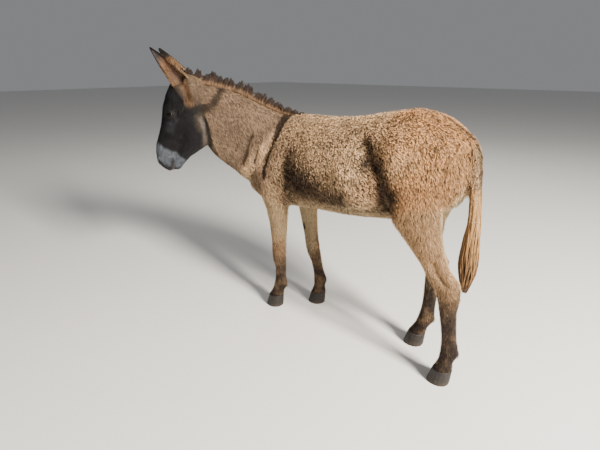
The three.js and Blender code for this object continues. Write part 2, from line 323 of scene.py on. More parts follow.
def keep_largest_shell(made):
    """Drops the small closed shells that a remesh can leave inside."""
    unseen, shells = set(made.verts), []
    while unseen:
        shell = [unseen.pop()]
        for vertex in shell:
            near = {edge.other_vert(vertex) for edge in vertex.link_edges} & unseen
            unseen -= near
            shell.extend(near)
        shells.append(shell)
    shells.sort(key=len)
    bmesh.ops.delete(made, geom=[v for shell in shells[:-1] for v in shell], context="VERTS")


def refined(wanted):
    """A change that halves the edges whose two ends are both wanted."""

    def halve(made):
        made.verts.ensure_lookup_table()
        edges = [e for e in made.edges if wanted[e.verts[0].index] and wanted[e.verts[1].index]]
        bmesh.ops.subdivide_edges(made, edges=edges, cuts=1, use_grid_fill=True)

    return halve


# ---- Regions ----

def region_shares(mesh, net):
    """For each point, how much it belongs to each region, blended over the borders."""
    points, triangles, owner = joined_solids(FLESH, 0)
    tree = BVHTree.FromPolygons(points.tolist(), triangles.tolist())
    shares = np.zeros((len(mesh.vertices), len(FLESH)))
    nearest = [tree.find_nearest(Vector(p))[2] for p in points_of(mesh)]
    shares[np.arange(len(nearest)), owner[nearest]] = 1
    return net.spread(shares, 12)


def share_of(shares, *regions):
    return sum(shares[:, FLESH.index(region)] for region in regions)


# ---- Camera, floor and light ----

CAMERA_PLACE = at(-1.366, 1.853, 1.4)
CAMERA_HEADING = (-0.741, -0.672)
CAMERA_PITCH = math.radians(19.4)
LENS = 27.06  # mm, on a sensor 36 mm wide
AIM_HEIGHT = 0.8  # of the point the lamps face


def aimed(name, data, place, back):
    """A camera or lamp at a place, looking away from the direction `back`."""
    made = link(name, data)
    made.location = place
    made.rotation_mode = "QUATERNION"
    made.rotation_quaternion = back.to_track_quat("Z", "Y")
    return made


def camera():
    """The view from the animal's left rear, at eye height."""
    data = bpy.data.cameras.new("camera")
    data.lens = LENS
    data.clip_end = 100
    level = Vector((*CAMERA_HEADING, 0)).normalized()
    look = level * math.cos(CAMERA_PITCH) - Vector(UP) * math.sin(CAMERA_PITCH)
    bpy.context.scene.camera = aimed("camera", data, CAMERA_PLACE, -look)


def lamp(name, azimuth, elevation, distance, size, power, colour):
    """A soft square light aimed at the animal. Azimuth 0 stands on the -Y side and 90 on +X."""
    data = bpy.data.lights.new(name, "AREA")
    data.size = size
    data.energy = power
    data.color = colour
    turn, rise = math.radians(azimuth), math.radians(elevation)
    way = Vector((math.sin(turn) * math.cos(rise), -math.cos(turn) * math.cos(rise), math.sin(rise)))
    aimed(name, data, Vector((0, 0, AIM_HEIGHT)) + way * distance, way)


def studio():
    lamp("key", 170, 27, 6.0, 1.3, 1800, (1.0, 0.94, 0.84))
    lamp("fill", 75, 35, 6.0, 4.0, 25, (0.93, 0.96, 1.0))
    lamp("rim", 300, 35, 6.0, 3.0, 80, (1.0, 0.97, 0.93))
    world = bpy.data.worlds.new("studio")
    bpy.context.scene.world = world
    world.use_nodes = True
    sky = world.node_tree.nodes["Background"]
    sky.inputs["Color"].default_value = (0.88, 0.9, 0.93, 1)
    sky.inputs["Strength"].default_value = 0.26


FLOOR_HALF = 30.0


def floor():
    corners = FLOOR_HALF * np.array(((-1, -1, 0), (1, -1, 0), (1, 1, 0), (-1, 1, 0)))
    piece = link("floor", mesh_of("floor", corners, np.array([[0, 1, 2, 3]])))
    piece.data.materials.append(floor_material())


# ---- Materials ----


class Nodes:
    """Short words for building a material's node tree."""

    def __init__(self, name):
        self.material = bpy.data.materials.new(name)
        self.material.use_nodes = True
        self.tree = self.material.node_tree
        self.shader = self.tree.nodes["Principled BSDF"]

    def add(self, kind, sockets=(), **settings):
        node = self.tree.nodes.new(kind)
        for key, value in settings.items():
            setattr(node, key, value)
        for key, value in dict(sockets).items():
            node.inputs[key].default_value = value
        return node

    def join(self, source, target):
        self.tree.links.new(source, target)

    def noise(self, scale, detail=3.0, stretch=(1, 1, 1)):
        place = self.add("ShaderNodeTexCoord")
        mapping = self.add("ShaderNodeMapping", {"Scale": stretch})
        texture = self.add("ShaderNodeTexNoise", {"Scale": scale, "Detail": detail})
        self.join(place.outputs["Object"], mapping.inputs["Vector"])
        self.join(mapping.outputs["Vector"], texture.inputs["Vector"])
        return texture.outputs["Fac"]

    def span(self, low, high, *grain):
        """Noise brought to the range from low to high."""
        ends = {"From Min": 0.3, "From Max": 0.7, "To Min": low, "To Max": high}
        node = self.add("ShaderNodeMapRange", ends)
        self.join(self.noise(*grain), node.inputs["Value"])
        return node.outputs["Result"]

    def tint(self, *shades):
        """The painted colour, each shade value brightening or darkening it."""
        colour = self.add("ShaderNodeVertexColor", layer_name="tint").outputs["Color"]
        for shade in shades:
            scaled = self.add("ShaderNodeVectorMath", operation="SCALE")
            self.join(colour, scaled.inputs[0])
            self.join(shade, scaled.inputs["Scale"])
            colour = scaled.outputs["Vector"]
        self.join(colour, self.shader.inputs["Base Color"])

    def bump(self, distance, *grain):
        node = self.add("ShaderNodeBump", {"Distance": distance, "Strength": 0.6})
        self.join(self.noise(*grain), node.inputs["Height"])
        self.join(node.outputs["Normal"], self.shader.inputs["Normal"])


def grained(name, shades, gloss, bump=None, **sockets):
    """A painted material. Shades and gloss are spans of noise: lowest, highest, then the noise."""
    made = Nodes(name)
    if shades:
        made.tint(*(made.span(low, high, *grain) for low, high, *grain in shades))
    made.join(made.span(*gloss), made.shader.inputs["Roughness"])
    if bump:
        distance, *grain = bump
        made.bump(distance, *grain)
    for key, value in sockets.items():
        made.shader.inputs[key.replace("_", " ")].default_value = value
    return made.material


def floor_material():
    return grained("floor", (), (0.75, 0.9, 3.0), Base_Color=(0.7, 0.69, 0.67, 1))


def coat_material():
    shades = [(0.86, 1.14, 14.0, 4.0), (0.85, 1.15, 260.0, 2.0)]
    sheen = {"Sheen_Weight": 0.02, "Sheen_Roughness": 0.45}
    return grained("coat", shades, (0.72, 0.9, 120.0), Specular_IOR_Level=0.1, **sheen)


def hair_material(name, shine):
    """Long hair: streaked and with more gloss than the coat."""
    streaks = [(0.75, 1.25, 500.0, 2.0, (1, 1, 0.08))]
    return grained(name, streaks, (0.45, 0.65, 60.0), Specular_IOR_Level=shine, Sheen_Weight=0.02)


def eye_material():
    wet = {"Specular_IOR_Level": 0.08, "Coat_Weight": 0.03, "Coat_Roughness": 0.02}
    return grained("eye", [(0.8, 1.2, 900.0, 3.0)], (0.04, 0.09, 300.0), **wet)


def horn_material():
    shades = [(0.75, 1.2, 40.0, 4.0, (1, 1, 4)), (0.85, 1.15, 400.0, 2.0, (1, 1, 0.1))]
    grooves = (0.0005, 500.0, 2.0, (1, 1, 0.15))
    return grained("horn", shades, (0.45, 0.8, 80.0), grooves, Specular_IOR_Level=0.35)


def skin_material():
    pores = (0.0006, 900.0, 2.0)
    return grained("skin", [(0.8, 1.1, 40.0, 5.0)], (0.6, 0.85, 90.0), pores, Specular_IOR_Level=0.3)


# ---- Skin: muscles, hollows and folds ----


def near_line(points, line):
    """Distance from points to a line through several corners, or to a single point."""
    line = np.asarray(line, float).reshape(-1, 3)
    best = np.linalg.norm(points - line[0], axis=1)
    for start, end in zip(line, line[1:]):
        way = end - start
        share = np.clip((points - start) @ way / (way @ way), 0, 1)
        best = np.minimum(best, np.linalg.norm(points - start - share[:, None] * way, axis=1))
    return best


# Each form is a line of points, a radius, and how far the skin is pushed out (+) or in (-) there.
# Body forms are forward, left and up, and hold on both sides.
BODY_FORMS = [
    ([(0.36, 0.1, 1.11), (0.49, 0.17, 0.87)], 0.032, 0.007),  # spine of the shoulder blade
    ([(0.5, 0.14, 1.06), (0.57, 0.17, 0.9)], 0.03, -0.005),
    ([(0.24, 0.2, 0.96), (0.225, 0.2, 0.8), (0.25, 0.16, 0.72)], 0.042, -0.022),
    ([(0.365, 0.185, 0.88), (0.335, 0.18, 0.77)], 0.048, 0.007),  # muscle over the elbow
    ([(0.3, 0.155, 0.7)], 0.028, 0.006),
    ([(0.54, 0.13, 0.83)], 0.045, 0.009),  # point of the shoulder
    ([(-0.215, 0.185, 1.09), (-0.26, 0.2, 1.05), (-0.3, 0.215, 1.0)], 0.036, -0.028),  # flank
    ([(-0.32, 0.225, 0.965), (-0.355, 0.22, 0.89), (-0.35, 0.17, 0.79)], 0.034, -0.024),
    ([(-0.15, 0.235, 0.93), (-0.21, 0.225, 0.82)], 0.06, 0.011),  # end of the ribs
    ([(-0.365, 0.175, 1.1), (-0.395, 0.19, 1.05)], 0.04, 0.012),  # point of the hip
    ([(-0.44, 0.21, 1.0), (-0.48, 0.19, 0.88)], 0.08, 0.007),
    ([(-0.6, 0.15, 1.0), (-0.59, 0.15, 0.86)], 0.035, -0.005),  # groove of the buttock
    ([(-0.24, 0.0, 0.7), (-0.33, 0.0, 0.735)], 0.034, 0.012),  # sheath
]
# The inner side of the bent neck folds. These are on the left only.
NECK_FOLDS = [
    ([(0.435, 0.175, 1.05), (0.46, 0.19, 0.985), (0.49, 0.19, 0.9)], 0.013, -0.015),
    ([(0.495, 0.205, 1.04), (0.515, 0.22, 0.975), (0.56, 0.22, 0.88)], 0.018, -0.019),
    ([(0.465, 0.195, 1.05), (0.485, 0.205, 0.98), (0.52, 0.205, 0.9)], 0.013, 0.007),
]
# Head forms are along, aside and dorsal.
HEAD_FORMS = [
    ([(0.02, 0.06, 0.02), (0.05, 0.07, -0.01), (0.09, 0.085, -0.04)], 0.014, -0.016),  # ear's well
    ([(-0.01, 0.06, -0.01), (0.035, 0.075, -0.04), (0.08, 0.085, -0.06)], 0.012, 0.008),
    ([(0.045, 0.06, 0.045), (0.08, 0.075, 0.01), (0.1, 0.085, -0.02)], 0.012, 0.006),
    ([(0.215, 0.08, -0.01), (0.3, 0.06, 0.0)], 0.011, 0.004),  # facial crest
    ([(0.135, 0.055, 0.07)], 0.024, -0.006),  # hollow over the eye
    ([(0.16, 0.06, 0.05), (0.19, 0.07, 0.06)], 0.012, 0.005),  # rim of the orbit
    ([(0.36, 0.02, 0.06), (0.43, 0.02, 0.055)], 0.014, -0.004),
    ([(0.33, 0.045, -0.045), (0.4, 0.045, -0.04)], 0.018, -0.005),  # between cheek and lips
    ([(0.11, 0.075, -0.105), (0.18, 0.06, -0.17), (0.25, 0.03, -0.21)], 0.013, -0.01),  # jaw's rear
    ([(0.15, 0.07, -0.06), (0.24, 0.06, -0.13)], 0.04, 0.005),  # cheek muscle
    ([(0.47, 0.0, -0.085)], 0.016, 0.003),  # chin
]
MOUTH = [(0.418, 0.052, -0.04), (0.455, 0.046, -0.046), (0.482, 0.03, -0.046), (0.497, 0.0, -0.044)]
def both_faces(line, radius, push):
    """A form on a leg's outer face, and the same on its inner one."""
    return [([(ahead, face * out, up) for ahead, out, up in line], radius, push) for face in (1, -1)]


# Leg forms are ahead of the leg's middle line, out from it, and up.
LEG_FORMS = {
    "fore": [
        ([(0.04, 0.0, 0.375), (0.04, 0.0, 0.34)], 0.022, 0.004),  # knee
        ([(-0.036, 0.006, 0.372)], 0.014, 0.006),
        *both_faces([(-0.012, 0.03, 0.28), (-0.012, 0.028, 0.2)], 0.009, -0.004),  # tendons
        ([(-0.034, 0.0, 0.158)], 0.014, 0.006),  # ergot
        *both_faces([(0.0, 0.036, 0.166)], 0.016, 0.004),
        ([(-0.03, 0.0, 0.112)], 0.014, -0.005),
    ],
    "hind": [
        *both_faces([(-0.02, 0.042, 0.6), (-0.03, 0.034, 0.525)], 0.017, -0.019),  # before the tendon
        ([(-0.06, 0.0, 0.492)], 0.016, 0.006),  # point of the hock
        ([(0.012, -0.038, 0.44)], 0.018, 0.004),
        *both_faces([(-0.012, 0.03, 0.36), (-0.012, 0.028, 0.22)], 0.009, -0.004),
        ([(-0.034, 0.0, 0.172)], 0.014, 0.006),
        *both_faces([(0.0, 0.036, 0.18)], 0.016, 0.004),
        ([(-0.03, 0.0, 0.118)], 0.014, -0.005),
    ],
}


def pushed(coords, forms):
    """How far each point is pushed by the forms, in one set of coordinates."""
    return sum(push * hump(near_line(coords, line) / radius) for line, radius, push in forms)


def leg_middle(node):
    """Heights and middles of a CAD leg's level bands, from the bottom up."""
    corners, _ = solid_of(node)
    bands = np.linspace(corners[:, 2].min(), corners[:, 2].max(), 13)
    place = np.clip(np.searchsorted(bands, corners[:, 2]) - 1, 0, len(bands) - 2)
    filled = [k for k in range(len(bands) - 1) if (place == k).sum() > 5]
    middles = []
    for k in filled:
        band = corners[place == k]
        middles.append((band.min(axis=0) + band.max(axis=0)) / 2)
    return np.array(middles)


LEG_MIDDLES = {node: leg_middle(node) for node in LEGS}


def leg_coords(points, node):
    """Ahead of a leg's middle line, out from it, and up."""
    middles = LEG_MIDDLES[node]
    x, y = (np.interp(points[:, 2], middles[:, 2], middles[:, k]) for k in (0, 1))
    side = SIDES[node.split("_")[1]]
    return np.stack((y - points[:, 1], side * (points[:, 0] - x), points[:, 2]), axis=1)


def muscles(points, shares):
    """How far all the forms together push each point of the skin."""
    body = body_coords(points)
    head = share_of(shares, "head")
    push = pushed(folded(body), BODY_FORMS) * (1 - head)
    push += pushed(np.stack(body, axis=1), NECK_FOLDS) * (1 - head)
    push += pushed(folded(head_coords(points)), HEAD_FORMS) * smoothstep(0.2, 0.6, head)
    for node in LEGS:
        forms = LEG_FORMS[node.split("leg")[0]]
        push += pushed(leg_coords(points, node), forms) * smoothstep(0.3, 0.7, share_of(shares, node))
    return push


# ---- Skin: eyelids, nostrils and mouth ----

EYE_OUT = (0.12, 1.0, 0.18)  # where the eye looks, along, aside and dorsally
EYE_SLIT = (-0.022, 0.0, -0.048)  # from the front corner to the rear one
SLIT_HALF, LID_UPPER, LID_LOWER, LID_THICK = 0.023, 0.013, 0.0105, 0.002


def local_frame(out, long, side):
    """Three head directions for one side: along a slit, across it towards the poll, and out of it."""
    mirror = np.array((1, side, 1))
    out = unit(np.array(out) * mirror)
    long = np.array(long) * mirror
    long = unit(long - out * (long @ out))
    across = np.cross(out, long) * side
    return np.array((long, across, out)) @ HEAD


def eye_frame(side):
    """Along the slit, across it and out of one eye."""
    return local_frame(EYE_OUT, EYE_SLIT, SIDES[side])


def almond(x, y):
    """Under 1 inside the opening between the lids, and more outside it."""
    return (x / SLIT_HALF) ** 2 + np.abs(y) / np.where(y > 0, LID_UPPER, LID_LOWER)


def eye_opening(points, side):
    x, y, high = ((points - EYES[side]) @ eye_frame(side).T).T
    return np.where(np.abs(high) < 0.04, almond(x, y), 99.0)


def from_eyes(points):
    """Distance to the nearer eye's middle."""
    return np.min([np.linalg.norm(points - EYES[side], axis=1) for side in SIDES], axis=0)


def smooth_most(first, second, reach):
    """The larger of two heights, rounded where they meet."""
    blend = np.clip(0.5 + (first - second) / (2 * reach), 0, 1)
    return second + (first - second) * blend + reach * blend * (1 - blend)


def eyelids(points, side):
    """Lays the skin round the eye as two lids with an almond opening."""
    x, y, high = ((points - EYES[side]) @ eye_frame(side).T).T
    radius, opening = np.hypot(x, y), almond(x, y)
    full, edge = EYE_RADIUS + LID_THICK, 0.9 * EYE_RADIUS
    ball = np.sqrt(full**2 - np.minimum(radius, edge) ** 2) - 0.9 * np.maximum(radius - edge, 0)
    surface = smooth_most(ball, high, 0.006)
    crease = np.where(y > 0, 0.0024, 0.0014) * hump((opening - 2.1) / 0.3)
    surface = surface - crease * smoothstep(0.03, 0.022, radius)
    inside = opening < 1
    rim = inside & (opening > 0.6)
    stretch = np.where(rim, 1 / np.sqrt(np.maximum(opening, 0.3)), 1)
    x, y = x * stretch, y * stretch
    under = np.sqrt(np.maximum((EYE_RADIUS - 0.0008) ** 2 - (radius * stretch) ** 2, 0))
    surface = np.where(inside, np.where(rim, under, under - 0.003), surface)
    moved = EYES[side] + np.stack((x, y, surface), axis=1) @ eye_frame(side)
    share = smoothstep(0.046, 0.034, radius) * (high > -0.03)
    return points + (moved - points) * share[:, None]


NOSTRIL = (0.455, 0.036, 0.02)
NOSTRIL_OUT, NOSTRIL_LONG = (0.45, 0.85, 0.15), (-0.6, 0.0, 0.8)
NOSTRIL_SIZE, NOSTRIL_DEPTH = (0.015, 0.0075), 0.013


def nostril_middle(side):
    along, aside, dorsal = NOSTRIL
    return in_head(along, side * aside, dorsal)


def from_nostrils(points):
    away = [np.linalg.norm(points - nostril_middle(side), axis=1) for side in SIDES.values()]
    return np.min(away, axis=0)


def nostrils(points):
    """Sinks a comma-shaped opening with a raised rim on each side."""
    for side in SIDES.values():
        axes = local_frame(NOSTRIL_OUT, NOSTRIL_LONG, side)
        x, y, high = ((points - nostril_middle(side)) @ axes.T).T
        bow = y + 12 * x * x
        opening = np.hypot(x / NOSTRIL_SIZE[0], bow / NOSTRIL_SIZE[1])
        near = smoothstep(-0.035, -0.015, high)
        sunk = NOSTRIL_DEPTH * (1 - smoothstep(0.55, 1.15, opening))
        rim = 0.0025 * hump((opening - 1.5) / 0.4)
        points = points + ((rim - sunk) * near)[:, None] * axes[2]
    return points


def from_mouth(points):
    return near_line(folded(head_coords(points)), MOUTH)


def mouth_push(points):
    away = from_mouth(points)
    return 0.0015 * hump(away / 0.009) - 0.0065 * hump(away / 0.0032)


# ---- Ears ----

EAR_LENGTH, EAR_WALL, EAR_ARC, EAR_SUNK = 0.24, 0.0065, math.radians(100), 0.12
EAR_ROOT, EAR_LEAN = (0.03, 0.056, 0.002), (-0.51, 0.14, 0.85)
EAR_WIDTHS = (0.038, 0.044, 0.039, 0.03, 0.018, 0.004)  # half widths, evenly from root to tip
EAR_STUMP = 0.2  # how far up the head's own skin reaches inside the ear


def ear_frame(side):
    """Along an ear, out of its opening, and across it."""
    way = unit(np.array(EAR_LEAN) * (1, side, 1)) @ HEAD
    out = unit(ASIDE * side - way * (ASIDE @ way) * side)
    return way, out, np.cross(way, out)


def ear_root(side):
    return in_head(EAR_ROOT[0], side * EAR_ROOT[1], EAR_ROOT[2])


def ear_widths(t):
    """Half width and depth of the cup."""
    wide = spline(EAR_WIDTHS, t) * np.sqrt(1 - np.clip((t - 0.955) / 0.045, 0, 1) ** 2)
    return np.maximum(wide, 0.0002), np.maximum(wide, 0.0002) * (0.95 - 0.45 * t)


def on_ear(side, t, share, inset):
    """Points on the cup: t from root to tip, share from -1 to 1 round it, inset from the back."""
    way, out, across = ear_frame(side)
    wide, deep = ear_widths(t)
    inset = np.minimum(inset, 0.6 * deep)
    turn = EAR_ARC * share
    middle = ear_root(side) + way * (EAR_LENGTH * (t + EAR_SUNK * (t - 1)))[..., None]
    back = -out * ((deep - inset) * np.cos(turn))[..., None]
    return middle + back + across * ((wide - inset) * np.sin(turn))[..., None]


def ear_place(points, side):
    """How far up an ear a point is, from 0 to 1, and how far from its axis in half widths."""
    way, away = ear_frame(side)[0], points - ear_root(side)
    t = (away @ way / EAR_LENGTH + EAR_SUNK) / (1 + EAR_SUNK)
    off = np.linalg.norm(away - (away @ way)[:, None] * way, axis=1)
    return t, off / ear_widths(np.clip(t, 0, 1))[0]


def near_ear(points):
    """1 on the stretches of skin that lie in or against an ear."""
    shares = []
    for side in SIDES.values():
        t, off = ear_place(points, side)
        shares.append(smoothstep(0.05, 0.15, t) * smoothstep(1.5, 1.1, off))
    return np.maximum(*shares)


def without_stumps(points):
    """Presses the head's ear bases down inside the ears."""
    for side in SIDES.values():
        t, off = ear_place(points, side)
        over = np.where(off < 1.3, np.maximum(t - EAR_STUMP, 0), 0) * (1 + EAR_SUNK) * EAR_LENGTH
        points = points - ear_frame(side)[0] * over[:, None]
    return points


EAR_ROWS, EAR_COLUMNS = 56, 36
EAR_SWELL = 0.001  # of the back, over the CAD's own size


def ear_surface(side):
    """Points and faces of an ear, back first, then inner side, and its colours."""
    t, share = grid(np.linspace(0, 1, EAR_ROWS), np.linspace(-1, 1, EAR_COLUMNS))
    ridges = 0.0016 * np.cos(9 * share) * smoothstep(0.95, 0.6, np.abs(share)) * (1 - t)
    curl = 0.0018 * smoothstep(0.8, 1.0, np.abs(share))
    back = on_ear(side, t, share, -EAR_SWELL)
    inner = on_ear(side, t, -share, EAR_WALL - curl + ridges)
    ring = np.concatenate((back, inner), axis=1)
    shade = np.concatenate((ear_colour(t, share, 0), ear_colour(t, share, 1)), axis=1)
    return ring.reshape(-1, 3), tube_sides(*ring.shape[:2])[:, ::side], shade.reshape(-1, 3)


def ear_colour(t, share, inner):
    edge = smoothstep(0.8, 0.97, np.abs(share) + 0.1 * t)
    tip = smoothstep(0.62, 0.82, t)
    base = mixed(EAR_BACK, TAUPE, smoothstep(0.45, 0.1, t))
    if inner:
        # Darker in the hair's streaks, and painted shade deep in the cup.
        streaks = 0.16 * np.cos(23 * share) + 0.12 * np.cos(41 * share + 5 * t)
        hollow = smoothstep(0.75, 0.15, t) * (1 - np.abs(share))
        base = mixed(EAR_INSIDE, EAR_STREAK_AND_SHADE, np.clip(hollow + streaks, 0, 1))
    return mixed(base, EAR_RIM, np.maximum(edge * (0.25 + 0.75 * smoothstep(0.05, 0.35, t)), tip))


# ---- Coat: how deep, long and dense it is ----

# Depth and length of the hair, half width of a lock, bent locks and straight fine ones per square
# metre, and how woolly the hair is.
COAT = {
    "trunk": (0.011, 0.021, 0.0018, 29000, 34000, 1.0),
    "neck": (0.009, 0.024, 0.0016, 9000, 84000, 0.36),
    "head": (0.004, 0.012, 0.0012, 0, 120000, 0.2),
    "tail_dock": (0.006, 0.022, 0.0015, 30000, 60000, 0.3),
    **{leg: (0.0055, 0.016, 0.0014, 0, 88000, 0.3) for leg in LEGS},
}
BENT, STRAIGHT = 3, 4  # places of the two densities


def calm_share(forward, up):
    """How sleek the hindquarters are, most of all low on the thigh."""
    behind = smoothstep(-0.28, -0.5, forward)
    return behind * (0.45 + 0.55 * smoothstep(1.05, 0.78, up))


def coat_fields(points, shares):
    """Depth, length, width, density and woolliness of the coat at each point."""
    fields = sum(share_of(shares, region)[:, None] * np.array(made) for region, made in COAT.items())
    forward, _, up = body_coords(points)
    along, _, dorsal = head_coords(points)
    head, trunk, legs = (share_of(shares, *nodes) for nodes in (["head"], ["trunk"], LEGS))
    muzzle = head * smoothstep(0.33, 0.45, along)
    jaw = head * smoothstep(-0.08, -0.16, dorsal) * (1 - muzzle)
    upper_leg = legs * smoothstep(0.5, 0.72, up)
    fetlock = legs * hump((up - 0.15) / 0.04)
    calm = calm_share(forward, up)
    fields[:, 0] *= 1 - 0.55 * muzzle + 0.5 * jaw + 0.7 * upper_leg
    fields[:, 1] *= 1 - 0.5 * muzzle + 0.6 * jaw + 0.6 * upper_leg + 0.4 * fetlock
    fields[:, 2] *= 1 - 0.4 * muzzle + 0.35 * upper_leg
    fields[:, STRAIGHT] *= 1 + 0.5 * muzzle - 0.3 * upper_leg
    breast = smoothstep(0.28, 0.44, forward) * trunk
    fields[:, 0] *= 1 - 0.22 * breast
    fields[:, BENT] *= 1 - 0.75 * calm * trunk - 0.6 * breast
    fields[:, STRAIGHT] *= 1 + 1.1 * calm * trunk + 0.9 * breast
    fields[:, 5] *= 1 - 0.75 * calm * trunk - 0.55 * breast
    fields[:, :3] *= (1 - 0.45 * smoothstep(0.05, 0.03, from_eyes(points)))[:, None]
    fields[:, 1] *= 1 - 0.1 * calm
    fields[:, 0] *= 1 - 0.8 * near_ear(points)
    return fields


def lie_of_coat(points, normals, shares, net):
    """The way the hair points, along the skin."""
    forward, left, _ = body_coords(points)
    _, _, dorsal = head_coords(points)
    back, down = np.array((0.0, 1.0, 0.0)), -UP
    low = np.clip(np.abs(left) / 0.24, 0, 1)[:, None]
    rump = smoothstep(-0.4, -0.6, forward)[:, None]
    trunk = back * (0.9 - 0.5 * rump) + down * (0.2 + 0.55 * low + 0.5 * rump)
    to_withers = unit(at(0.33, 0, 1.05) - at(0.72, 0.39, 1.2))
    neck = down * 0.75 + to_withers * 0.55
    cheek = smoothstep(0.0, -0.12, dorsal)[:, None]
    face = ALONG * (1 - 0.6 * cheek) - DORSAL * (0.1 + 0.8 * cheek)
    leg = down + back * 0.12
    lies = {("trunk",): trunk, ("neck",): neck, ("head",): face, ("tail_dock",): down, tuple(LEGS): leg}
    ways = sum(share_of(shares, *regions)[:, None] * way for regions, way in lies.items())
    for _ in range(3):
        ways = ways - np.sum(ways * normals, axis=1)[:, None] * normals
        ways = net.spread(unit(ways), 4)
    return unit(ways - np.sum(ways * normals, axis=1)[:, None] * normals)


# ---- Markings ----

TAUPE = linear(142, 116, 92)
GOLD = linear(214, 178, 134)
TAN = linear(146, 114, 81)
CREAM = linear(232, 206, 164)
ORANGE_TAN = linear(148, 104, 64)
NECK_BROWN = linear(100, 82, 67)
FOREARM = linear(232, 200, 156)
SHADOW_BROWN = linear(50, 39, 32)
# Dirt on the lower legs, dark enough to paint their shade as well.
SOIL_AND_SHADE = linear(54, 43, 36)
STRIPE = linear(34, 25, 20)
SKIN_SHADE = 0.4  # the skin between the locks, against the coat: darker partly for its own tone and partly as painted shade under the locks
# The face's own dark grey-brown, darkened further by painted shade.
FACE = linear(24, 22, 25)
# Painted highlight for the lit rear edge of the jaw.
JAW_RIM_HIGHLIGHT = linear(116, 106, 98)
CHEEK_BROWN = linear(84, 70, 54)
UNDER_EYE = linear(64, 66, 70)
SHADE = linear(14, 12, 12)
# The white muzzle, darkened and cooled by painted shade.
PALE = linear(94, 99, 108)
LIPS = linear(24, 22, 24)
EAR_BACK = linear(112, 84, 60)
EAR_INSIDE = linear(86, 58, 38)
EAR_STREAK_AND_SHADE = linear(46, 32, 25)
EAR_WELL_TAN = linear(98, 72, 50)
EAR_RIM = linear(26, 20, 18)
EAR_HAIR = linear(140, 112, 84)
CHESTNUT = linear(44, 36, 33)
CHESTNUT_PLACE, CHESTNUT_SIZE = (0.015, -0.046, 0.49), (0.013, 0.03, 0.027)
EAR_WELL = [(0.0, 0.055, 0.035), (0.03, 0.07, 0.0), (0.065, 0.08, -0.03), (0.1, 0.08, -0.05)]
# Painted shadow: a dark band from behind the eye, under the ear and up to the mane.
EAR_SHADOW_BAND = [
    (0.165, 0.09, -0.005),
    (0.135, 0.075, -0.07),
    (0.09, 0.05, -0.12),
    (0.07, 0.045, -0.145),
    (0.025, 0.025, -0.16),
    (-0.01, 0.005, -0.16),
]
# Painted highlight along the rear edge of the jaw.
JAW_RIM = [(0.165, 0.06, -0.12), (0.2, 0.06, -0.145), (0.245, 0.05, -0.16), (0.29, 0.03, -0.175)]
# Painted shade along the fold of the throat, behind the jaw.
THROAT_FOLD = [(0.15, 0.05, -0.13), (0.22, 0.04, -0.175), (0.285, 0.01, -0.195)]
CHEEK = [(0.12, 0.06, -0.1), (0.19, 0.06, -0.135)]
BELOW_EYE = [(0.21, 0.085, 0.015), (0.26, 0.07, 0.02)]
BROW = [(0.15, 0.085, 0.02), (0.11, 0.09, 0.0), (0.1, 0.09, -0.04)]
SHOULDER_STRIPE = [
    (0.385, 0.05, 1.15),
    (0.37, 0.115, 1.085),
    (0.385, 0.155, 1.0),
    (0.415, 0.175, 0.91),
    (0.42, 0.195, 0.83),
]


# Painted shade, darkest in the flank, behind the elbow and low on the barrel: corners of a line, radius
# and strength.
PAINTED_HOLLOW_SHADE = [
    ([(-0.225, 0.17, 1.095), (-0.255, 0.185, 1.065)], 0.034, 0.95),
    ([(-0.27, 0.195, 1.03), (-0.3, 0.205, 0.995)], 0.042, 0.95),
    ([(-0.26, 0.2, 1.01), (-0.24, 0.215, 0.985)], 0.03, 0.9),
    ([(-0.32, 0.21, 0.98), (-0.345, 0.21, 0.93), (-0.365, 0.2, 0.86)], 0.048, 0.85),
    ([(-0.365, 0.2, 0.87), (-0.35, 0.15, 0.77)], 0.07, 0.9),
    ([(0.25, 0.2, 0.94), (0.24, 0.2, 0.83), (0.27, 0.15, 0.71)], 0.036, 0.9),
    ([(0.19, 0.21, 0.83), (0.05, 0.22, 0.81), (-0.12, 0.21, 0.79)], 0.095, 0.86),
    ([(0.2, 0.21, 0.89), (0.08, 0.22, 0.87)], 0.065, 0.7),
]


def hollow_shade(body, fine):
    """How much painted shade darkens the coat in the hollows and low on the barrel."""
    clear = 1
    for line, radius, strength in PAINTED_HOLLOW_SHADE:
        clear = clear * (1 - strength * hump(near_line(body, line) / radius * (1 - 0.35 * fine)))
    return 1 - clear


def toned(colours, most=0.8):
    """Keeps the brightest colours under a limit, without changing their hue."""
    return colours / np.maximum(1, colours.max(axis=-1, keepdims=True) / most)


def chestnuts(points, shares):
    """1 on the bare horny patches on the inner side of the forearms."""
    patches = 0
    for side in SIDES:
        away = leg_coords(points, f"foreleg_{side}") - np.array(CHESTNUT_PLACE)
        near = smoothstep(1.1, 0.8, np.linalg.norm(away / np.array(CHESTNUT_SIZE), axis=1))
        patches = patches + near * share_of(shares, f"foreleg_{side}")
    return patches


def inner_side(points, shares, node):
    """1 on the inner side of a leg, above its dark foot."""
    _, out, up = leg_coords(points, node).T
    return share_of(shares, node) * (smoothstep(0.005, -0.035, out) * smoothstep(0.25, 0.45, up))


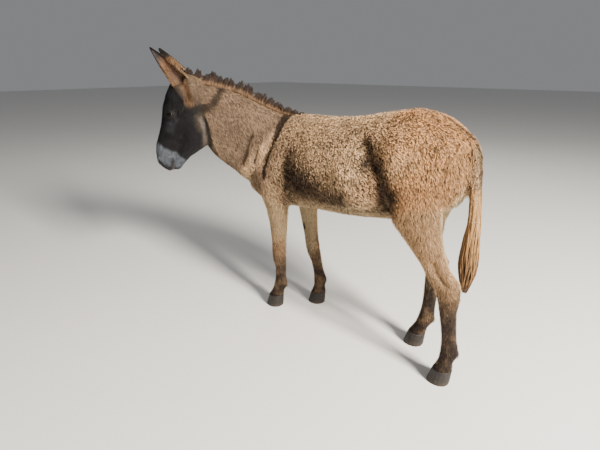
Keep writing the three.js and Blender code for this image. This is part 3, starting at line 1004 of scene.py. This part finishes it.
def markings(points, normals, shares):
    """The colour of skin and coat, from places on the body, with painted shade in hollows and folds and a
    painted highlight on the jaw's edge.
    """
    forward, left, up = body_coords(points)
    body = folded((forward, left, up))
    head, trunk, dock = (share_of(shares, region) for region in ("head", "trunk", "tail_dock"))
    legs, hind, fore = (share_of(shares, *nodes) for nodes in (LEGS, LEGS[2:], LEGS[:2]))
    wide, fine = rough(points, 0.22, 3), rough(points + 3.0, 0.05, 3)
    behind = smoothstep(-0.12, -0.5, forward + 0.12 * wide) * trunk
    # Painted shade in the neck's two folds, laid in the stripe's colour.
    away = [near_line(np.stack((forward, left, up), axis=1), fold) for fold, _, _ in NECK_FOLDS[:2]]
    under = smoothstep(0.35, 0.9, -normals[:, 2]) * trunk
    between = smoothstep(0.085, 0.03, np.abs(left)) * smoothstep(-0.52, -0.6, forward)
    between *= smoothstep(0.95, 0.86, up) * (1 - dock)
    # The lower legs darken towards the ground, the hind ones most: dirt, and painted shade as well.
    soiled_and_shaded = smoothstep(0.48, 0.26, up + 0.1 * fine - 0.08 * hind) * legs
    thick = 0.01 * smoothstep(0.98, 1.12, up)
    cross = smoothstep(0.018, 0.011, near_line(body, SHOULDER_STRIPE) - thick + 0.004 * fine)
    ridge = smoothstep(0.018, 0.007, np.abs(left))
    ridge = ridge * np.clip(smoothstep(0.3, 0.7, normals[:, 2]) + dock, 0, 1)
    ridge *= smoothstep(0.34, 0.25, forward) * smoothstep(0.85, 1.0, up)
    colour = painted(
        TAUPE,
        (GOLD, np.clip(0.35 + 0.5 * wide + 0.2 * fine, 0, 1)),
        (TAN, legs * 0.8),
        (FOREARM, fore * smoothstep(0.42, 0.55, up) * 0.7),
        (NECK_BROWN, share_of(shares, "neck") * 0.9),
        (ORANGE_TAN, behind * 0.72),
        (SHADOW_BROWN, hollow_shade(body, fine) * trunk),
        *((STRIPE, smoothstep(0.016, 0.004, distance) * 0.75) for distance in away),
        (CREAM, under * 0.45),
        (CREAM, between * 0.9),
        *((CREAM, inner_side(points, shares, node) * 0.8) for node in LEGS),
        (CHESTNUT, chestnuts(points, shares)),
        (SOIL_AND_SHADE, soiled_and_shaded * np.clip(0.8 + 0.18 * hind + 0.6 * fine, 0, 1)),
        (STRIPE, cross * 0.95 * (1 - head)),
        (STRIPE, ridge * 0.8),
    )
    colour = mixed(colour, face_colour(points, colour, fine), smoothstep(0.35, 0.75, head))
    face, near = folded(head_coords(points)), share_of(shares, "head", "neck")
    return painted(
        colour,
        (JAW_RIM_HIGHLIGHT, smoothstep(0.022, 0.008, near_line(face, JAW_RIM) + 0.004 * fine) * near * 0.75),
        (SHADE, smoothstep(0.016, 0.008, near_line(face, THROAT_FOLD)) * near * 0.9),
        (SHADE, smoothstep(0.034, 0.012, near_line(face, EAR_SHADOW_BAND) + 0.006 * fine) * near * 0.8),
    )


def face_colour(points, coat, fine):
    """The dark face with its pale muzzle, passing into the coat behind. Both face and muzzle are darker
    than their own tones, with painted shade.
    """
    face = folded(head_coords(points))
    along, _, dorsal = face.T
    rear = smoothstep(0.1, 0.0, along + 0.55 * dorsal) * 0.45
    rear += smoothstep(-0.145, -0.175, dorsal) * 0.2
    well = smoothstep(0.03, 0.017, near_line(face, EAR_WELL) + 0.006 * fine)
    pale = smoothstep(-0.006, 0.012, along - 0.374 + 0.26 * dorsal + 0.01 * fine)
    mottled = np.clip(rough(points + 7.0, 0.016, 2) + 0.25, 0, 1) * smoothstep(0.36, 0.44, along)
    lips = smoothstep(0.02, 0.007, near_line(face, MOUTH))
    nose = smoothstep(0.024, 0.014, near_line(face, NOSTRIL))
    tip = smoothstep(0.45, 0.478, along + 0.008 * fine)
    return painted(
        FACE,
        (coat, rear),
        (SHADE, 0.45 * np.clip(fine, 0, 1)),
        (CHEEK_BROWN, smoothstep(0.05, 0.01, near_line(face, CHEEK)) * 0.55),
        (UNDER_EYE, smoothstep(0.04, 0.01, near_line(face, BELOW_EYE)) * 0.5),
        (SHADE, smoothstep(0.046, 0.03, from_eyes(points)) * 0.95),
        (SHADE, smoothstep(0.02, 0.006, near_line(face, BROW)) * 0.5),
        (EAR_WELL_TAN, well * 0.85),
        (PALE, pale),
        (FACE, mottled * pale * 0.65),
        (LIPS, np.maximum(np.maximum(lips, nose), tip) * 0.92),
    )


# ---- Locks ----

PATCH = 0.003  # a lock's size on the coat's map


def ring_faces(rows):
    """Triangles of a closed spike with `rows` rings of three points and a tip."""
    faces = [(2, 1, 0)]
    for row in range(rows - 1):
        for k in range(3):
            a, b = 3 * row + k, 3 * row + (k + 1) % 3
            faces += [(a, b, b + 3), (a, b + 3, a + 3)]
    last, tip = 3 * (rows - 1), 3 * rows
    return np.array(faces + [(last + k, last + (k + 1) % 3, tip) for k in range(3)])


def strands(root, *pulls):
    """Middle lines of hairs. Each pull is a way and how far it carries each ring of a hair."""
    lines = root[:, None]
    for way, far in pulls:
        lines = lines + way[..., None, :] * far[..., None]
    return lines


def locks(name, slot, material, lines, across, out, widths, colours, places):
    """A piece of many locks. lines are N x M middle points, with across and out the directions of
    their section, widths N x M half widths, colours N x M shades and places N x 2 on the coat's map.
    """
    count, rings = lines.shape[0], lines.shape[1] - 1
    across, out = (np.broadcast_to(way, (count, 3)) for way in (across, out))
    widths = np.broadcast_to(widths, lines.shape[:2])
    colours = np.broadcast_to(colours, lines.shape)
    corner = np.array(((-1.0, 0.0), (1.0, 0.0), (0.0, 0.55)))
    size = widths[:, :-1, None, None]
    ring = (
        corner[None, None, :, :1] * across[:, None, None, :]
        + corner[None, None, :, 1:] * out[:, None, None, :]
    )
    points = lines[:, :-1, None, :] + size * ring
    points = np.concatenate((points.reshape(count, rings * 3, 3), lines[:, -1:, :]), axis=1)
    shade = np.concatenate((np.repeat(colours[:, :-1], 3, axis=1), colours[:, -1:]), axis=1)
    template = ring_faces(rings)
    each = rings * 3 + 1
    faces = (template[None] + np.arange(count)[:, None, None] * each).reshape(-1, 3)
    mesh = mesh_of(name, points.reshape(-1, 3), faces)
    colour_points(mesh, shade.reshape(-1, 3))
    row, column = np.divmod(np.arange(each), 3)
    spot = np.stack((column / 2 * (row < rings), row / rings), axis=1) * PATCH
    flat = (places[:, None, None, :] + spot[template][None]).reshape(-1, 2)
    mesh.uv_layers.new(name="OFBake").data.foreach_set("uv", flat.astype(np.float32).ravel())
    piece(name, mesh, slot, material)


def margins(places):
    """Keeps places between 0 and 1 off the map's edges."""
    return places * 0.98 + 0.005


def piece(name, mesh, slot, material, *nodes):
    """Puts a finished mesh on the body, in place of CAD nodes if it stands for any."""
    made = link(name, mesh)
    mesh.materials.append(material)
    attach(made, "root")
    if nodes:
        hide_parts(*nodes)


def scatter(points, triangles, density, fields):
    """Roots spread over a surface, with the fields' values there."""
    a, b, c = (points[triangles[:, k]] for k in range(3))
    area = np.linalg.norm(np.cross(b - a, c - a), axis=1) / 2
    total = np.cumsum(area * density[triangles].mean(axis=1))
    count = int(total[-1])
    face = np.searchsorted(total, np.sort((np.arange(count) + rng.random(count)) * total[-1] / count))
    face = np.minimum(face, len(triangles) - 1)
    first, second = rng.random((2, count))
    flip = first + second > 1
    first[flip], second[flip] = 1 - first[flip], 1 - second[flip]
    share = np.stack((1 - first - second, first, second), axis=1)
    corners = triangles[face]
    return [np.einsum("nk,nkd->nd", share, value[corners]) for value in (points, *fields)]


def gathered(roots, spacing):
    """The nearest of a looser set of roots, and a random number for each of those."""
    count = max(8, int(len(roots) * spacing))
    chosen = rng.choice(len(roots), count, replace=False)
    tree = KDTree(count)
    for index, place in enumerate(roots[chosen]):
        tree.insert(place, index)
    tree.balance()
    nearest = np.array([tree.find(root)[1] for root in roots])
    return roots[chosen][nearest], rng.random((count, 3))[nearest]


def cylinder_place(points, start, end):
    """A place from 0 to 1 round and along an axis, on a map of the body part."""
    way = unit(end - start)
    first = unit(np.cross(way, (0.31, 0.17, 0.93)))
    second = np.cross(way, first)
    away = points - start
    turn = np.arctan2(away @ second, away @ first) / (2 * math.pi) + 0.5
    return np.stack((turn, np.clip((away @ way) / np.linalg.norm(end - start), 0, 1)), axis=1)


CHARTS = {
    "trunk": (at(0.66, 0, 0.93), at(-0.68, 0, 0.93)),
    "neck": (at(0.33, 0, 0.98), at(0.74, 0.4, 1.2)),
    "head": (in_head(-0.06, 0, -0.03), in_head(0.51, 0, -0.03)),
    "tail_dock": (at(-0.66, 0, 1.15), at(-0.69, 0, 0.74)),
    **{leg: (LEG_MIDDLES[leg][-1] + 0.1 * UP, LEG_MIDDLES[leg][0] - 0.1 * UP) for leg in LEGS},
}
SLOTS = {"trunk": "coat", "neck": "coat", "head": "face", "tail_dock": "coat"}
MOST_TRIANGLES = 185000  # in one piece
CLUMPS = 38000  # places where hair gathers, over the whole animal
COAT_SHADES = (0.12, 0.66, 2.15)  # at the root, the middle and the tip: painted shade darkens the root, and the bright tip is partly the hair's paler end and partly painted highlight


def body_coat(mesh, shares, material):
    """The short coat, as locks over the whole skin."""
    points, normals = points_of(mesh), normals_of(mesh)
    fields = coat_fields(points, shares)
    lie = lie_of_coat(points, normals, shares, Net(mesh))
    colours = markings(points, normals, shares)
    covered = 1 - bare_skin(points)
    for kind, density, level, high, slimness in COAT_KINDS:
        values = (normals, lie, colours, fields, shares)
        made = scatter(points, triangles_of(mesh), fields[:, density] * covered, values)
        lay_coat(kind, *made, np.array(level), np.array(high), slimness, material)


# The kinds of lock: a name, the density's place, how far along the hair and how high over the skin
# each ring lies, and how slim it is.
COAT_KINDS = [
    ("locks", BENT, (0.0, 0.55, 1.0), (-0.12, 0.78, 1.0), 1.0),
    ("hair", STRAIGHT, (0.0, 1.0), (-0.25, 1.05), 0.75),
]


def lay_coat(kind, roots, normal, lie, colour, coat, owner, level, high, slimness, material):
    """Lays one kind of lock on its roots, in pieces of one body part each."""
    count = len(roots)
    normal = unit(normal)
    depth, length, width, _, _, woolly = coat.T
    gather, mood = gathered(roots, CLUMPS / len(roots))
    swirl = 14 * (mood[:, 0] - 0.5) * (1 + woolly)
    turn = np.radians(rng.normal(0, 8 + 10 * woolly) + swirl)
    aside = np.cross(normal, lie)
    way = unit(lie * np.cos(turn)[:, None] + aside * np.sin(turn)[:, None])
    long = length * (0.7 + 0.6 * rng.random(count))
    rise = 0.78 + 0.8 * (mood[:, 1] - 0.5) * woolly + rng.normal(0, 0.13, count)
    rise = depth * np.clip(rise, 0.25, 1.2)
    pull = (gather - roots) * (0.25 + 0.4 * woolly)[:, None]
    pull -= np.sum(pull * normal, axis=1)[:, None] * normal
    lines = strands(roots, (way, long[:, None] * level), (normal, rise[:, None] * high), (pull, level**2))
    half = (slimness * width * (0.7 + 0.6 * rng.random(count)))[:, None] * (1 - level**4)
    shine = 1 + 1.75 * (mood[:, 2] - 0.5) * (0.15 + woolly) + rng.normal(0, 0.27, count)
    # The root is darkened as painted shade; the tip is brightened, partly as painted highlight.
    shade = np.clip(shine, 0.25, 2.2)[:, None] * np.interp(level, (0, 0.5, 1), COAT_SHADES)
    tinted = toned(colour[:, None] * shade[..., None])
    across = np.cross(normal, way)
    chart = np.argmax(owner, axis=1)
    for region, axis in CHARTS.items():
        mine = np.flatnonzero(chart == FLESH.index(region))
        place = cylinder_place(roots[mine], *axis)
        mine, place = (values[np.argsort(place[:, 1], kind="stable")] for values in (mine, place))
        slabs = math.ceil(len(mine) * (6 * len(level) - 8) / MOST_TRIANGLES)
        for slab in range(slabs):
            chosen, spot = (np.array_split(values, slabs)[slab] for values in (mine, place))
            low, top = spot.min(axis=0), spot.max(axis=0)
            spot = 0.005 + 0.985 * (spot - low) / (top - low)
            parts = [values[chosen] for values in (lines, across, normal, half, tinted)]
            locks(f"{kind}_{region}_{slab + 1}", SLOTS.get(region, "leg_coat"), material, *parts, spot)


def bare_skin(points):
    """1 where no hair grows: on the eyelids' rims, in the nostrils and on the lips."""
    opening = np.minimum(*(eye_opening(points, side) for side in SIDES))
    bare = (opening < 1.25) | (from_nostrils(points) < 0.013) | (from_mouth(points) < 0.005)
    return bare.astype(float)


# ---- Hair of the ears ----

EAR_LOCKS, EAR_INNER_LOCKS = 2300, 1000


def ear_hair(name, side, material):
    """Short hair on the back and rim, and long pale hair inside the opening."""
    count = EAR_LOCKS + EAR_INNER_LOCKS
    inner = np.arange(count) >= EAR_LOCKS
    t = np.where(inner, 0.1 + 0.5 * rng.random(count) ** 1.3, 0.14 + 0.84 * rng.random(count) ** 0.8)
    share = np.where(rng.random(count) < 0.25, rng.choice((-0.99, 0.99), count), rng.uniform(-1, 1, count))
    wall = np.where(inner, EAR_WALL, 0.0)
    turn = np.where(inner, -share, share)
    root = on_ear(side, t, turn, wall)
    way = unit(on_ear(side, t + 0.01, turn, wall) - root)
    around = unit(on_ear(side, t, turn + 0.01, wall) - root)
    out = np.cross(around, way) * np.where(inner, -1, 1)[:, None] * side
    _, opening, _ = ear_frame(side)
    edge = smoothstep(0.75, 1.0, np.abs(share))
    long = np.where(inner, 0.026 + 0.014 * rng.random(count), 0.013 - 0.006 * t)
    rise = np.where(inner, 0.01 * rng.random(count), 0.0028)
    lean = way + around * rng.normal(0, 0.16, count)[:, None]
    lean += opening * np.where(inner, 0.35 * edge, 0.25 * edge)[:, None]
    lean = unit(lean)
    level, high = np.array((0.0, 0.5, 1.0)), np.array((-0.2, 0.8, 1.0))
    lines = strands(root, (lean, long[:, None] * level), (out, rise[:, None] * high))
    half = np.where(inner, 0.0008, 0.0015 - 0.0005 * t)[:, None] * np.array((1.0, 0.9, 0.0))
    pale = ear_colour(t, share, 0)
    colour = np.where(inner[:, None], mixed(EAR_HAIR, EAR_INSIDE, 0.8 * smoothstep(0.2, 0.6, t)), pale)
    # Painted shade at the root, paler at the tip.
    shade = (1 + rng.normal(0, 0.14, count))[:, None] * np.array((0.7, 1.0, 1.25))
    tinted = toned(colour[:, None] * shade[..., None])
    places = margins(np.stack((0.48 * (turn + 1) / 2 + 0.5 * inner, t), axis=1))
    across = unit(np.cross(out, lean))
    locks(f"ear_hair_{name}", "ear", material, lines, across, out, half, tinted, places)


# ---- Mane ----

MANE_HEIGHT, MANE_HALF, MANE_ROOT = 0.066, 0.015, 0.012
CREST = [
    at(0.29, 0.0, 1.15),
    at(0.34, 0.008, 1.154),
    at(0.414, 0.042, 1.168),
    at(0.48, 0.096, 1.202),
    at(0.54, 0.156, 1.244),
    at(0.598, 0.22, 1.28),
    at(0.65, 0.284, 1.305),
    at(0.696, 0.346, 1.32),
    at(0.728, 0.392, 1.326),
    in_head(0.016, 0, 0.074),
]
MANE_LOCKS, MANE_TUFTS = 5600, 34
# The inner part's section: across in half widths, and up in heights of the mane.
CORE_PROFILE = [(-1, -0.15), (-0.85, 0.15), (-0.5, 0.42), (0, 0.52), (0.5, 0.42), (0.85, 0.15), (1, -0.15)]
MANE_BASE = linear(118, 91, 66)
MANE_DARK = linear(52, 37, 27)
MANE_TIP = linear(26, 19, 16)


def mane_size(t):
    """Height and half width of the mane along the crest."""
    height = MANE_HEIGHT * np.minimum(np.minimum(1, 0.1 + 2.2 * t), 0.85 + 2 * (1 - t))
    return height, MANE_HALF * np.minimum(1, 0.6 + 1.2 * t)


def on_crest(t):
    """Points of the crest, with the ways ahead along it and across it."""
    ahead = unit(spline(CREST, t + 0.01) - spline(CREST, t - 0.01))
    return spline(CREST, t), ahead, unit(np.cross(UP, ahead))


def mane(material):
    """Upright hair in tufts, dark at the ends."""
    t, u = rng.random(MANE_LOCKS), rng.uniform(-1, 1, MANE_LOCKS)
    places = np.sort(rng.random(MANE_TUFTS))
    tuft = np.abs(t[:, None] - places).argmin(axis=1)
    mood = rng.random((MANE_TUFTS, 4))[tuft]
    middle = places[tuft]
    height, half = mane_size(t)
    crest, ahead, across = on_crest(t)
    gather = (spline(CREST, middle) - crest) * (0.25 + 0.35 * mood[:, :1])
    apart = np.clip(np.abs(t - middle) * 2.2 * MANE_TUFTS, 0, 1)
    root = crest + across * (u * half * 0.85)[:, None] - UP * MANE_ROOT
    reach = height * (0.76 + 0.32 * mood[:, 1]) * (0.84 + 0.16 * rng.random(MANE_LOCKS)) + MANE_ROOT
    reach *= (1 - 0.22 * u * u) * (1.06 - 0.16 * apart)
    lean = -ahead * (0.01 + 0.016 * mood[:, 2:3])
    lean = lean + across * (u * 0.01 + 0.012 * (mood[:, 3] - 0.5))[:, None]
    lean = lean + rng.normal(0, 0.003, (MANE_LOCKS, 3))
    level = np.array((0.0, 0.3, 0.58, 0.82, 1.0))
    lines = strands(root, (UP, reach[:, None] * level), (gather + lean, level**1.6))
    thick = 0.0024 * (0.7 + 0.6 * rng.random(MANE_LOCKS))[:, None] * np.array((1.0, 0.95, 0.8, 0.5, 0.0))
    dark = smoothstep(0.18, 0.62, level[None] + 0.35 * (rng.random((MANE_LOCKS, 1)) - 0.5))
    colour = painted(MANE_BASE, (MANE_DARK, dark), (MANE_TIP, smoothstep(0.7, 1.0, level)[None]))
    colour = np.clip(colour * (1 + rng.normal(0, 0.16, (MANE_LOCKS, 1, 1))), 0, 1)
    places = margins(np.stack((t, 0.5 + 0.49 * u), axis=1))
    locks("mane_locks", "mane", material, lines, ahead, across, thick, colour, places)


def mane_core(material):
    """The dense inner part of the mane, which no light comes through."""
    t = np.linspace(0, 1, 60)
    height, half = mane_size(t)
    crest, _, across = on_crest(t)
    wide, high = np.array(CORE_PROFILE).T
    rise = np.where(high > 0, 1.0, MANE_ROOT / MANE_HEIGHT / -high[0])
    rings = strands(crest, (across, half[:, None] * 0.8 * wide), (UP, height[:, None] * high * rise))
    # Darkened to 0.4: painted shade inside the mane.
    shade = mixed(MANE_BASE, MANE_DARK, smoothstep(-0.1, 0.4, high)) * 0.4
    made = tube("mane_core", rings, np.tile(shade, (len(t), 1)))
    piece("mane_core", made, "mane", material, "mane")


# ---- Tail ----

# Forward, up, half depth and half width, from where the long hair starts down to the tip.
SWITCH = [
    (-0.68, 0.94, 0.026, 0.028),
    (-0.687, 0.86, 0.026, 0.027),
    (-0.694, 0.77, 0.029, 0.029),
    (-0.692, 0.69, 0.038, 0.036),
    (-0.69, 0.6, 0.044, 0.04),
    (-0.69, 0.54, 0.042, 0.036),
    (-0.69, 0.48, 0.028, 0.026),
    (-0.691, 0.428, 0.01, 0.009),
]
SWITCH_LOCKS, SWITCH_TUFTS, SWITCH_LEVELS = 3300, 52, 8
SWITCH_TOP = linear(146, 108, 64)
SWITCH_LOW = linear(100, 68, 36)
SWITCH_GOLD = linear(178, 136, 80)
SWITCH_DARK = linear(58, 40, 30)


def in_switch(share, turn, radius):
    """A point of the tail's hair: share from top to tip, turn round it, radius from 0 to 1."""
    forward, up, deep, wide = np.moveaxis(spline(SWITCH, share.ravel()).reshape(*share.shape, 4), -1, 0)
    return ORIGIN + np.stack(
        (wide * radius * np.sin(turn), -forward - deep * radius * np.cos(turn), up), axis=-1
    )


def tail_switch(material):
    """The long hair of the tail, in wavy tufts that start at different heights."""
    count = SWITCH_LOCKS
    start = rng.random(count) ** 1.2 * 0.45
    end = np.clip(start + 0.3 + 0.45 * rng.random(count), 0.62, 0.995)
    end = np.where(rng.random(count) < 0.25, 0.88 + 0.115 * rng.random(count), end)
    tuft = rng.integers(0, SWITCH_TUFTS, count)
    mood = rng.random((SWITCH_TUFTS, 4))[tuft]
    turn = 2 * math.pi * (tuft + 0.5 + 0.9 * (rng.random(count) - 0.5)) / SWITCH_TUFTS
    depth = 0.6 + 0.38 * np.sqrt(rng.random(count))
    level = np.linspace(0, 1, SWITCH_LEVELS)
    share = start[:, None] + (end - start)[:, None] * level
    gather = 2 * math.pi * (tuft + 0.5) / SWITCH_TUFTS - turn
    wave = 0.16 * np.sin(2 * math.pi * (3.2 * share + mood[:, :1]) + mood[:, 1:2] * 3)
    angle = turn[:, None] + gather[:, None] * level * 0.5 + (wave + 0.25 * (mood[:, 2:3] - 0.5)) * level
    radius = depth[:, None] * (0.93 + 0.07 * np.sin(6.28 * (2.3 * share + mood[:, 3:4])))
    radius = radius - 0.25 * np.maximum(1 - share / 0.12, 0) * (start[:, None] < 0.05)
    lines = in_switch(share, angle, radius)
    out = unit(np.stack((np.sin(turn), -np.cos(turn), 0 * turn), axis=1))
    across = unit(np.cross(UP, out))
    taper = np.clip((1 - level) * 3.2, 0, 1) ** 0.7
    thick = 0.0015 * (0.6 + 0.8 * rng.random(count))[:, None] * taper
    low = smoothstep(0.25, 0.75, share)
    colour = painted(
        SWITCH_TOP,
        (SWITCH_LOW, low),
        (SWITCH_GOLD, 0.55 * (rng.random((count, 1)) ** 2) * (0.4 + 0.6 * level[None])),
        (SWITCH_DARK, 0.75 * (rng.random((count, 1)) < 0.22)),
        # Painted shade on the hairs deep inside the tail.
        (SWITCH_DARK, 0.5 * (1 - smoothstep(0.6, 0.95, depth))[:, None]),
    )
    places = margins(np.stack((turn / (2 * math.pi) % 1, start / 0.46), axis=1))
    locks("tail_locks", "tail_hair", material, lines, across, out, thick, np.clip(colour, 0, 1), places)


def tail_core(material):
    """The dense inner part of the tail's hair."""
    share, turn = grid(np.linspace(0.02, 0.97, 40), turns(18))
    bundles = 0.62 + 0.06 * np.cos(9 * turn + 5 * share)
    rings = in_switch(share, turn, bundles)
    # Coloured dark all over: painted shade inside the tail's hair.
    made = tube("tail_core", rings, np.tile(SWITCH_DARK, (share.size, 1)))
    piece("tail_core", made, "tail_hair", material, "tail_switch")


# ---- Eyes ----

IRIS, PUPIL_LONG, PUPIL_HIGH = 0.015, 0.0095, 0.0042
CORNEA = 0.0011  # how far the cornea stands out of the ball
EYE_GAP = 0.0003  # between the ball and its CAD solid's surface
WHITE = linear(34, 25, 21)
IRIS_BROWN = linear(12, 8, 6)
PUPIL = linear(6, 6, 9)
LASHES = 46
LASH = linear(30, 22, 20)
FINE_HAIR = (1.0, 0.9, 0.6, 0.0)  # widths of a lash or whisker from root to tip


def eye(name, material):
    """A ball with a bulging cornea, a brown iris and a long level pupil."""
    ring, turn = grid(np.linspace(0.002, math.pi - 0.002, 40), turns(64))
    radius, high = (EYE_RADIUS - EYE_GAP) * np.sin(ring), (EYE_RADIUS - EYE_GAP) * np.cos(ring)
    x, y = radius * np.cos(turn), radius * np.sin(turn)
    bulge = CORNEA * smoothstep(IRIS + 0.001, 0.004, radius) * (high > 0)
    ball = np.stack((x, y, high + bulge), axis=-1).reshape(-1, 3)
    x, y, high = ball.T
    radius = np.hypot(x, y)
    rays = 0.12 * np.sin(37 * np.arctan2(y, x)) + 0.08 * np.sin(61 * np.arctan2(y, x) + 1)
    colour = mixed(IRIS_BROWN, WHITE, smoothstep(IRIS - 0.0008, IRIS + 0.0008, radius))
    colour = painted(
        colour * (1 + rays * (radius < IRIS))[:, None],
        (PUPIL, smoothstep(1.12, 0.88, np.hypot(x / PUPIL_LONG, y / PUPIL_HIGH))),
        (PUPIL, smoothstep(-0.0005, -0.003, high)),
    )
    rings = (EYES[name] + ball @ eye_frame(name)).reshape(*ring.shape, 3)
    made = tube(f"eyeball_{name}", rings, colour)
    piece(f"eyeball_{name}", made, "eye", material, f"eye_{name}")


def lashes(name, material):
    """Short hairs along the upper lid, curving up."""
    axes = eye_frame(name)
    place = np.linspace(-0.92, 0.92, LASHES) + rng.normal(0, 0.01, LASHES)
    x = place * SLIT_HALF
    y = (1 - place**2) * LID_UPPER * 1.02
    ball = np.sqrt((EYE_RADIUS + 0.8 * LID_THICK) ** 2 - x * x - y * y)
    root = EYES[name] + np.stack((x, y, ball), axis=1) @ axes
    long = 0.012 * (0.75 + 0.4 * rng.random(LASHES)) * (1 - 0.4 * place**2)
    level = np.array((0.0, 0.4, 0.75, 1.0))
    fan = axes[0] * (0.35 * place + rng.normal(0, 0.06, LASHES))[:, None]
    way = unit(axes[2] * 0.9 + fan - axes[1] * 0.15)
    lines = strands(root, (way, long[:, None] * level), (axes[1], 0.35 * long[:, None] * level**2))
    thick = 0.00035 * np.array(FINE_HAIR)
    places = np.stack((0.5 + 0.48 * place, np.full(LASHES, 0.5)), axis=1)
    locks(f"lashes_{name}", "face", material, lines, axes[0], axes[1], thick, LASH, places)


# ---- Hooves ----

HORN = linear(24, 21, 19)
HORN_PALE = linear(42, 36, 31)
HORN_DIRT = linear(52, 42, 33)
HORN_VOXEL = 0.0032


def hoof(name, material):
    """A horn capsule with growth rings, a rounded crown and a flat, worn sole."""
    points, triangles = solid_of(name)
    mesh = remeshed(mesh_of(name, points, triangles), HORN_VOXEL)
    net = Net(mesh)
    points, normals = net.even(points_of(mesh), 6), normals_of(mesh)
    top = points[:, 2].max()
    up = points[:, 2] / top
    wall = smoothstep(0.9, 0.5, np.abs(normals[:, 2]))
    grain = rough(points * (1, 1, 0.3), 0.006, 2)
    rings = 0.0003 * np.sin(2 * math.pi * (up * 8 + 0.25 * rough(points, 0.05, 1)))
    crown = -0.0018 * smoothstep(0.9, 1.0, up)
    points = points + normals * ((rings + 0.0002 * grain) * wall + crown)[:, None]
    points[:, 2] = np.where(points[:, 2] < 0.0016, 0.0, points[:, 2])
    colour = mixed(HORN, HORN_PALE, np.clip(0.35 + 0.6 * grain + 200 * rings, 0, 1))
    dirt = smoothstep(0.45, 0.02, up + 0.15 * grain)
    put_points(mesh, points)
    colour_points(mesh, mixed(colour, HORN_DIRT, 0.75 * dirt))
    piece(f"detailed_{name}", mesh, "horn", material, name)


# ---- Whiskers ----

WHISKERS = 90
WHISKER = linear(150, 140, 128)


def whiskers(mesh, material):
    """Thin long hairs round the lips and on the chin."""
    points, normals = points_of(mesh), normals_of(mesh)
    along, aside, dorsal = head_coords(points)
    chin = np.flatnonzero((along > 0.42) & (dorsal < 0.0) & (np.abs(aside) < 0.07))
    chosen = rng.choice(chin, WHISKERS, replace=False)
    root, normal = points[chosen], normals[chosen]
    long = 0.016 + 0.022 * rng.random(WHISKERS)
    way = unit(normal + ALONG * 0.35 + rng.normal(0, 0.25, (WHISKERS, 3)))
    level = np.array((0.0, 0.35, 0.7, 1.0))
    lines = strands(root, (way, long[:, None] * level), (-UP, 0.25 * long[:, None] * level**2))
    across = unit(np.cross(way, UP))
    thick = 0.0003 * np.array(FINE_HAIR)
    places = margins(cylinder_place(root, *CHARTS["head"]))
    locks("whiskers", "face", material, lines, across, np.cross(way, across), thick, WHISKER, places)


# ---- The skin ----


def near_head(points):
    """Where the face needs a finer net, and in the next two functions a still finer one."""
    along, aside, dorsal = head_coords(points)
    jaw = -0.1 - 0.5 * np.clip(along, 0, 0.2)
    return (along > -0.03) & (along < 0.53) & (np.abs(aside) < 0.12) & (dorsal > jaw) & (dorsal < 0.12)


def near_features(points):
    return (from_eyes(points) < 0.04) | (from_nostrils(points) < 0.03) | (from_mouth(points) < 0.014)


def near_eyes(points):
    return from_eyes(points) < 0.027


def make_skin():
    """The skin, shaped from the CAD's flesh, and each point's share of the regions."""
    points, triangles, _ = joined_solids([*FLESH, *(f"eye_{side}" for side in SIDES)], SWELL)
    mesh = remeshed(mesh_of("flesh", points, triangles), VOXEL)
    edited(mesh, keep_largest_shell)
    put_points(mesh, Net(mesh).even(points_of(mesh), 12))
    for chosen in (near_head, near_features, near_eyes):
        edited(mesh, refined(chosen(points_of(mesh))))
    net = Net(mesh)
    put_points(mesh, without_stumps(net.even(points_of(mesh), 3)))
    shares = region_shares(mesh, net)
    points, normals = points_of(mesh), normals_of(mesh)
    depth = coat_fields(points, shares)[:, :1]
    inset = net.spread(normals * depth, 4)
    points = points - inset
    push = muscles(points, shares) + mouth_push(points)
    points = points + normals * push[:, None]
    points = nostrils(points)
    for side in SIDES:
        points = eyelids(points, side)
    put_points(mesh, points)
    # The skin is darker than the coat: its own tone, and painted shade under the locks.
    colours = SKIN_SHADE * markings(points, normals_of(mesh), shares)
    whole = [(points, triangles_of(mesh), colours)]
    whole += [ear_surface(side) for side in SIDES.values()]
    starts = np.cumsum([0] + [len(part[0]) for part in whole])
    made = mesh_of(
        "skin",
        np.concatenate([part[0] for part in whole]),
        [part[1] + start for part, start in zip(whole, starts)],
    )
    colour_points(made, np.concatenate([part[2] for part in whole]))
    piece("skin", made, "coat", skin_material(), *FLESH, *EARS)
    return mesh, shares


camera()
studio()
floor()
skin, shares = make_skin()
hair = hair_material("mane", 0.25)
tail_hair = hair_material("tail_hair", 0.4)
coat = coat_material()
body_coat(skin, shares, coat)
for name, side in SIDES.items():
    ear_hair(name, side, coat)
    eye(name, eye_material())
    lashes(name, hair)
horn = horn_material()
for name in [f"hoof_{pair}_{side}" for pair in PAIRS for side in SIDES]:
    hoof(name, horn)
mane_core(hair)
mane(hair)
tail_core(tail_hair)
tail_switch(tail_hair)
whiskers(skin, hair)
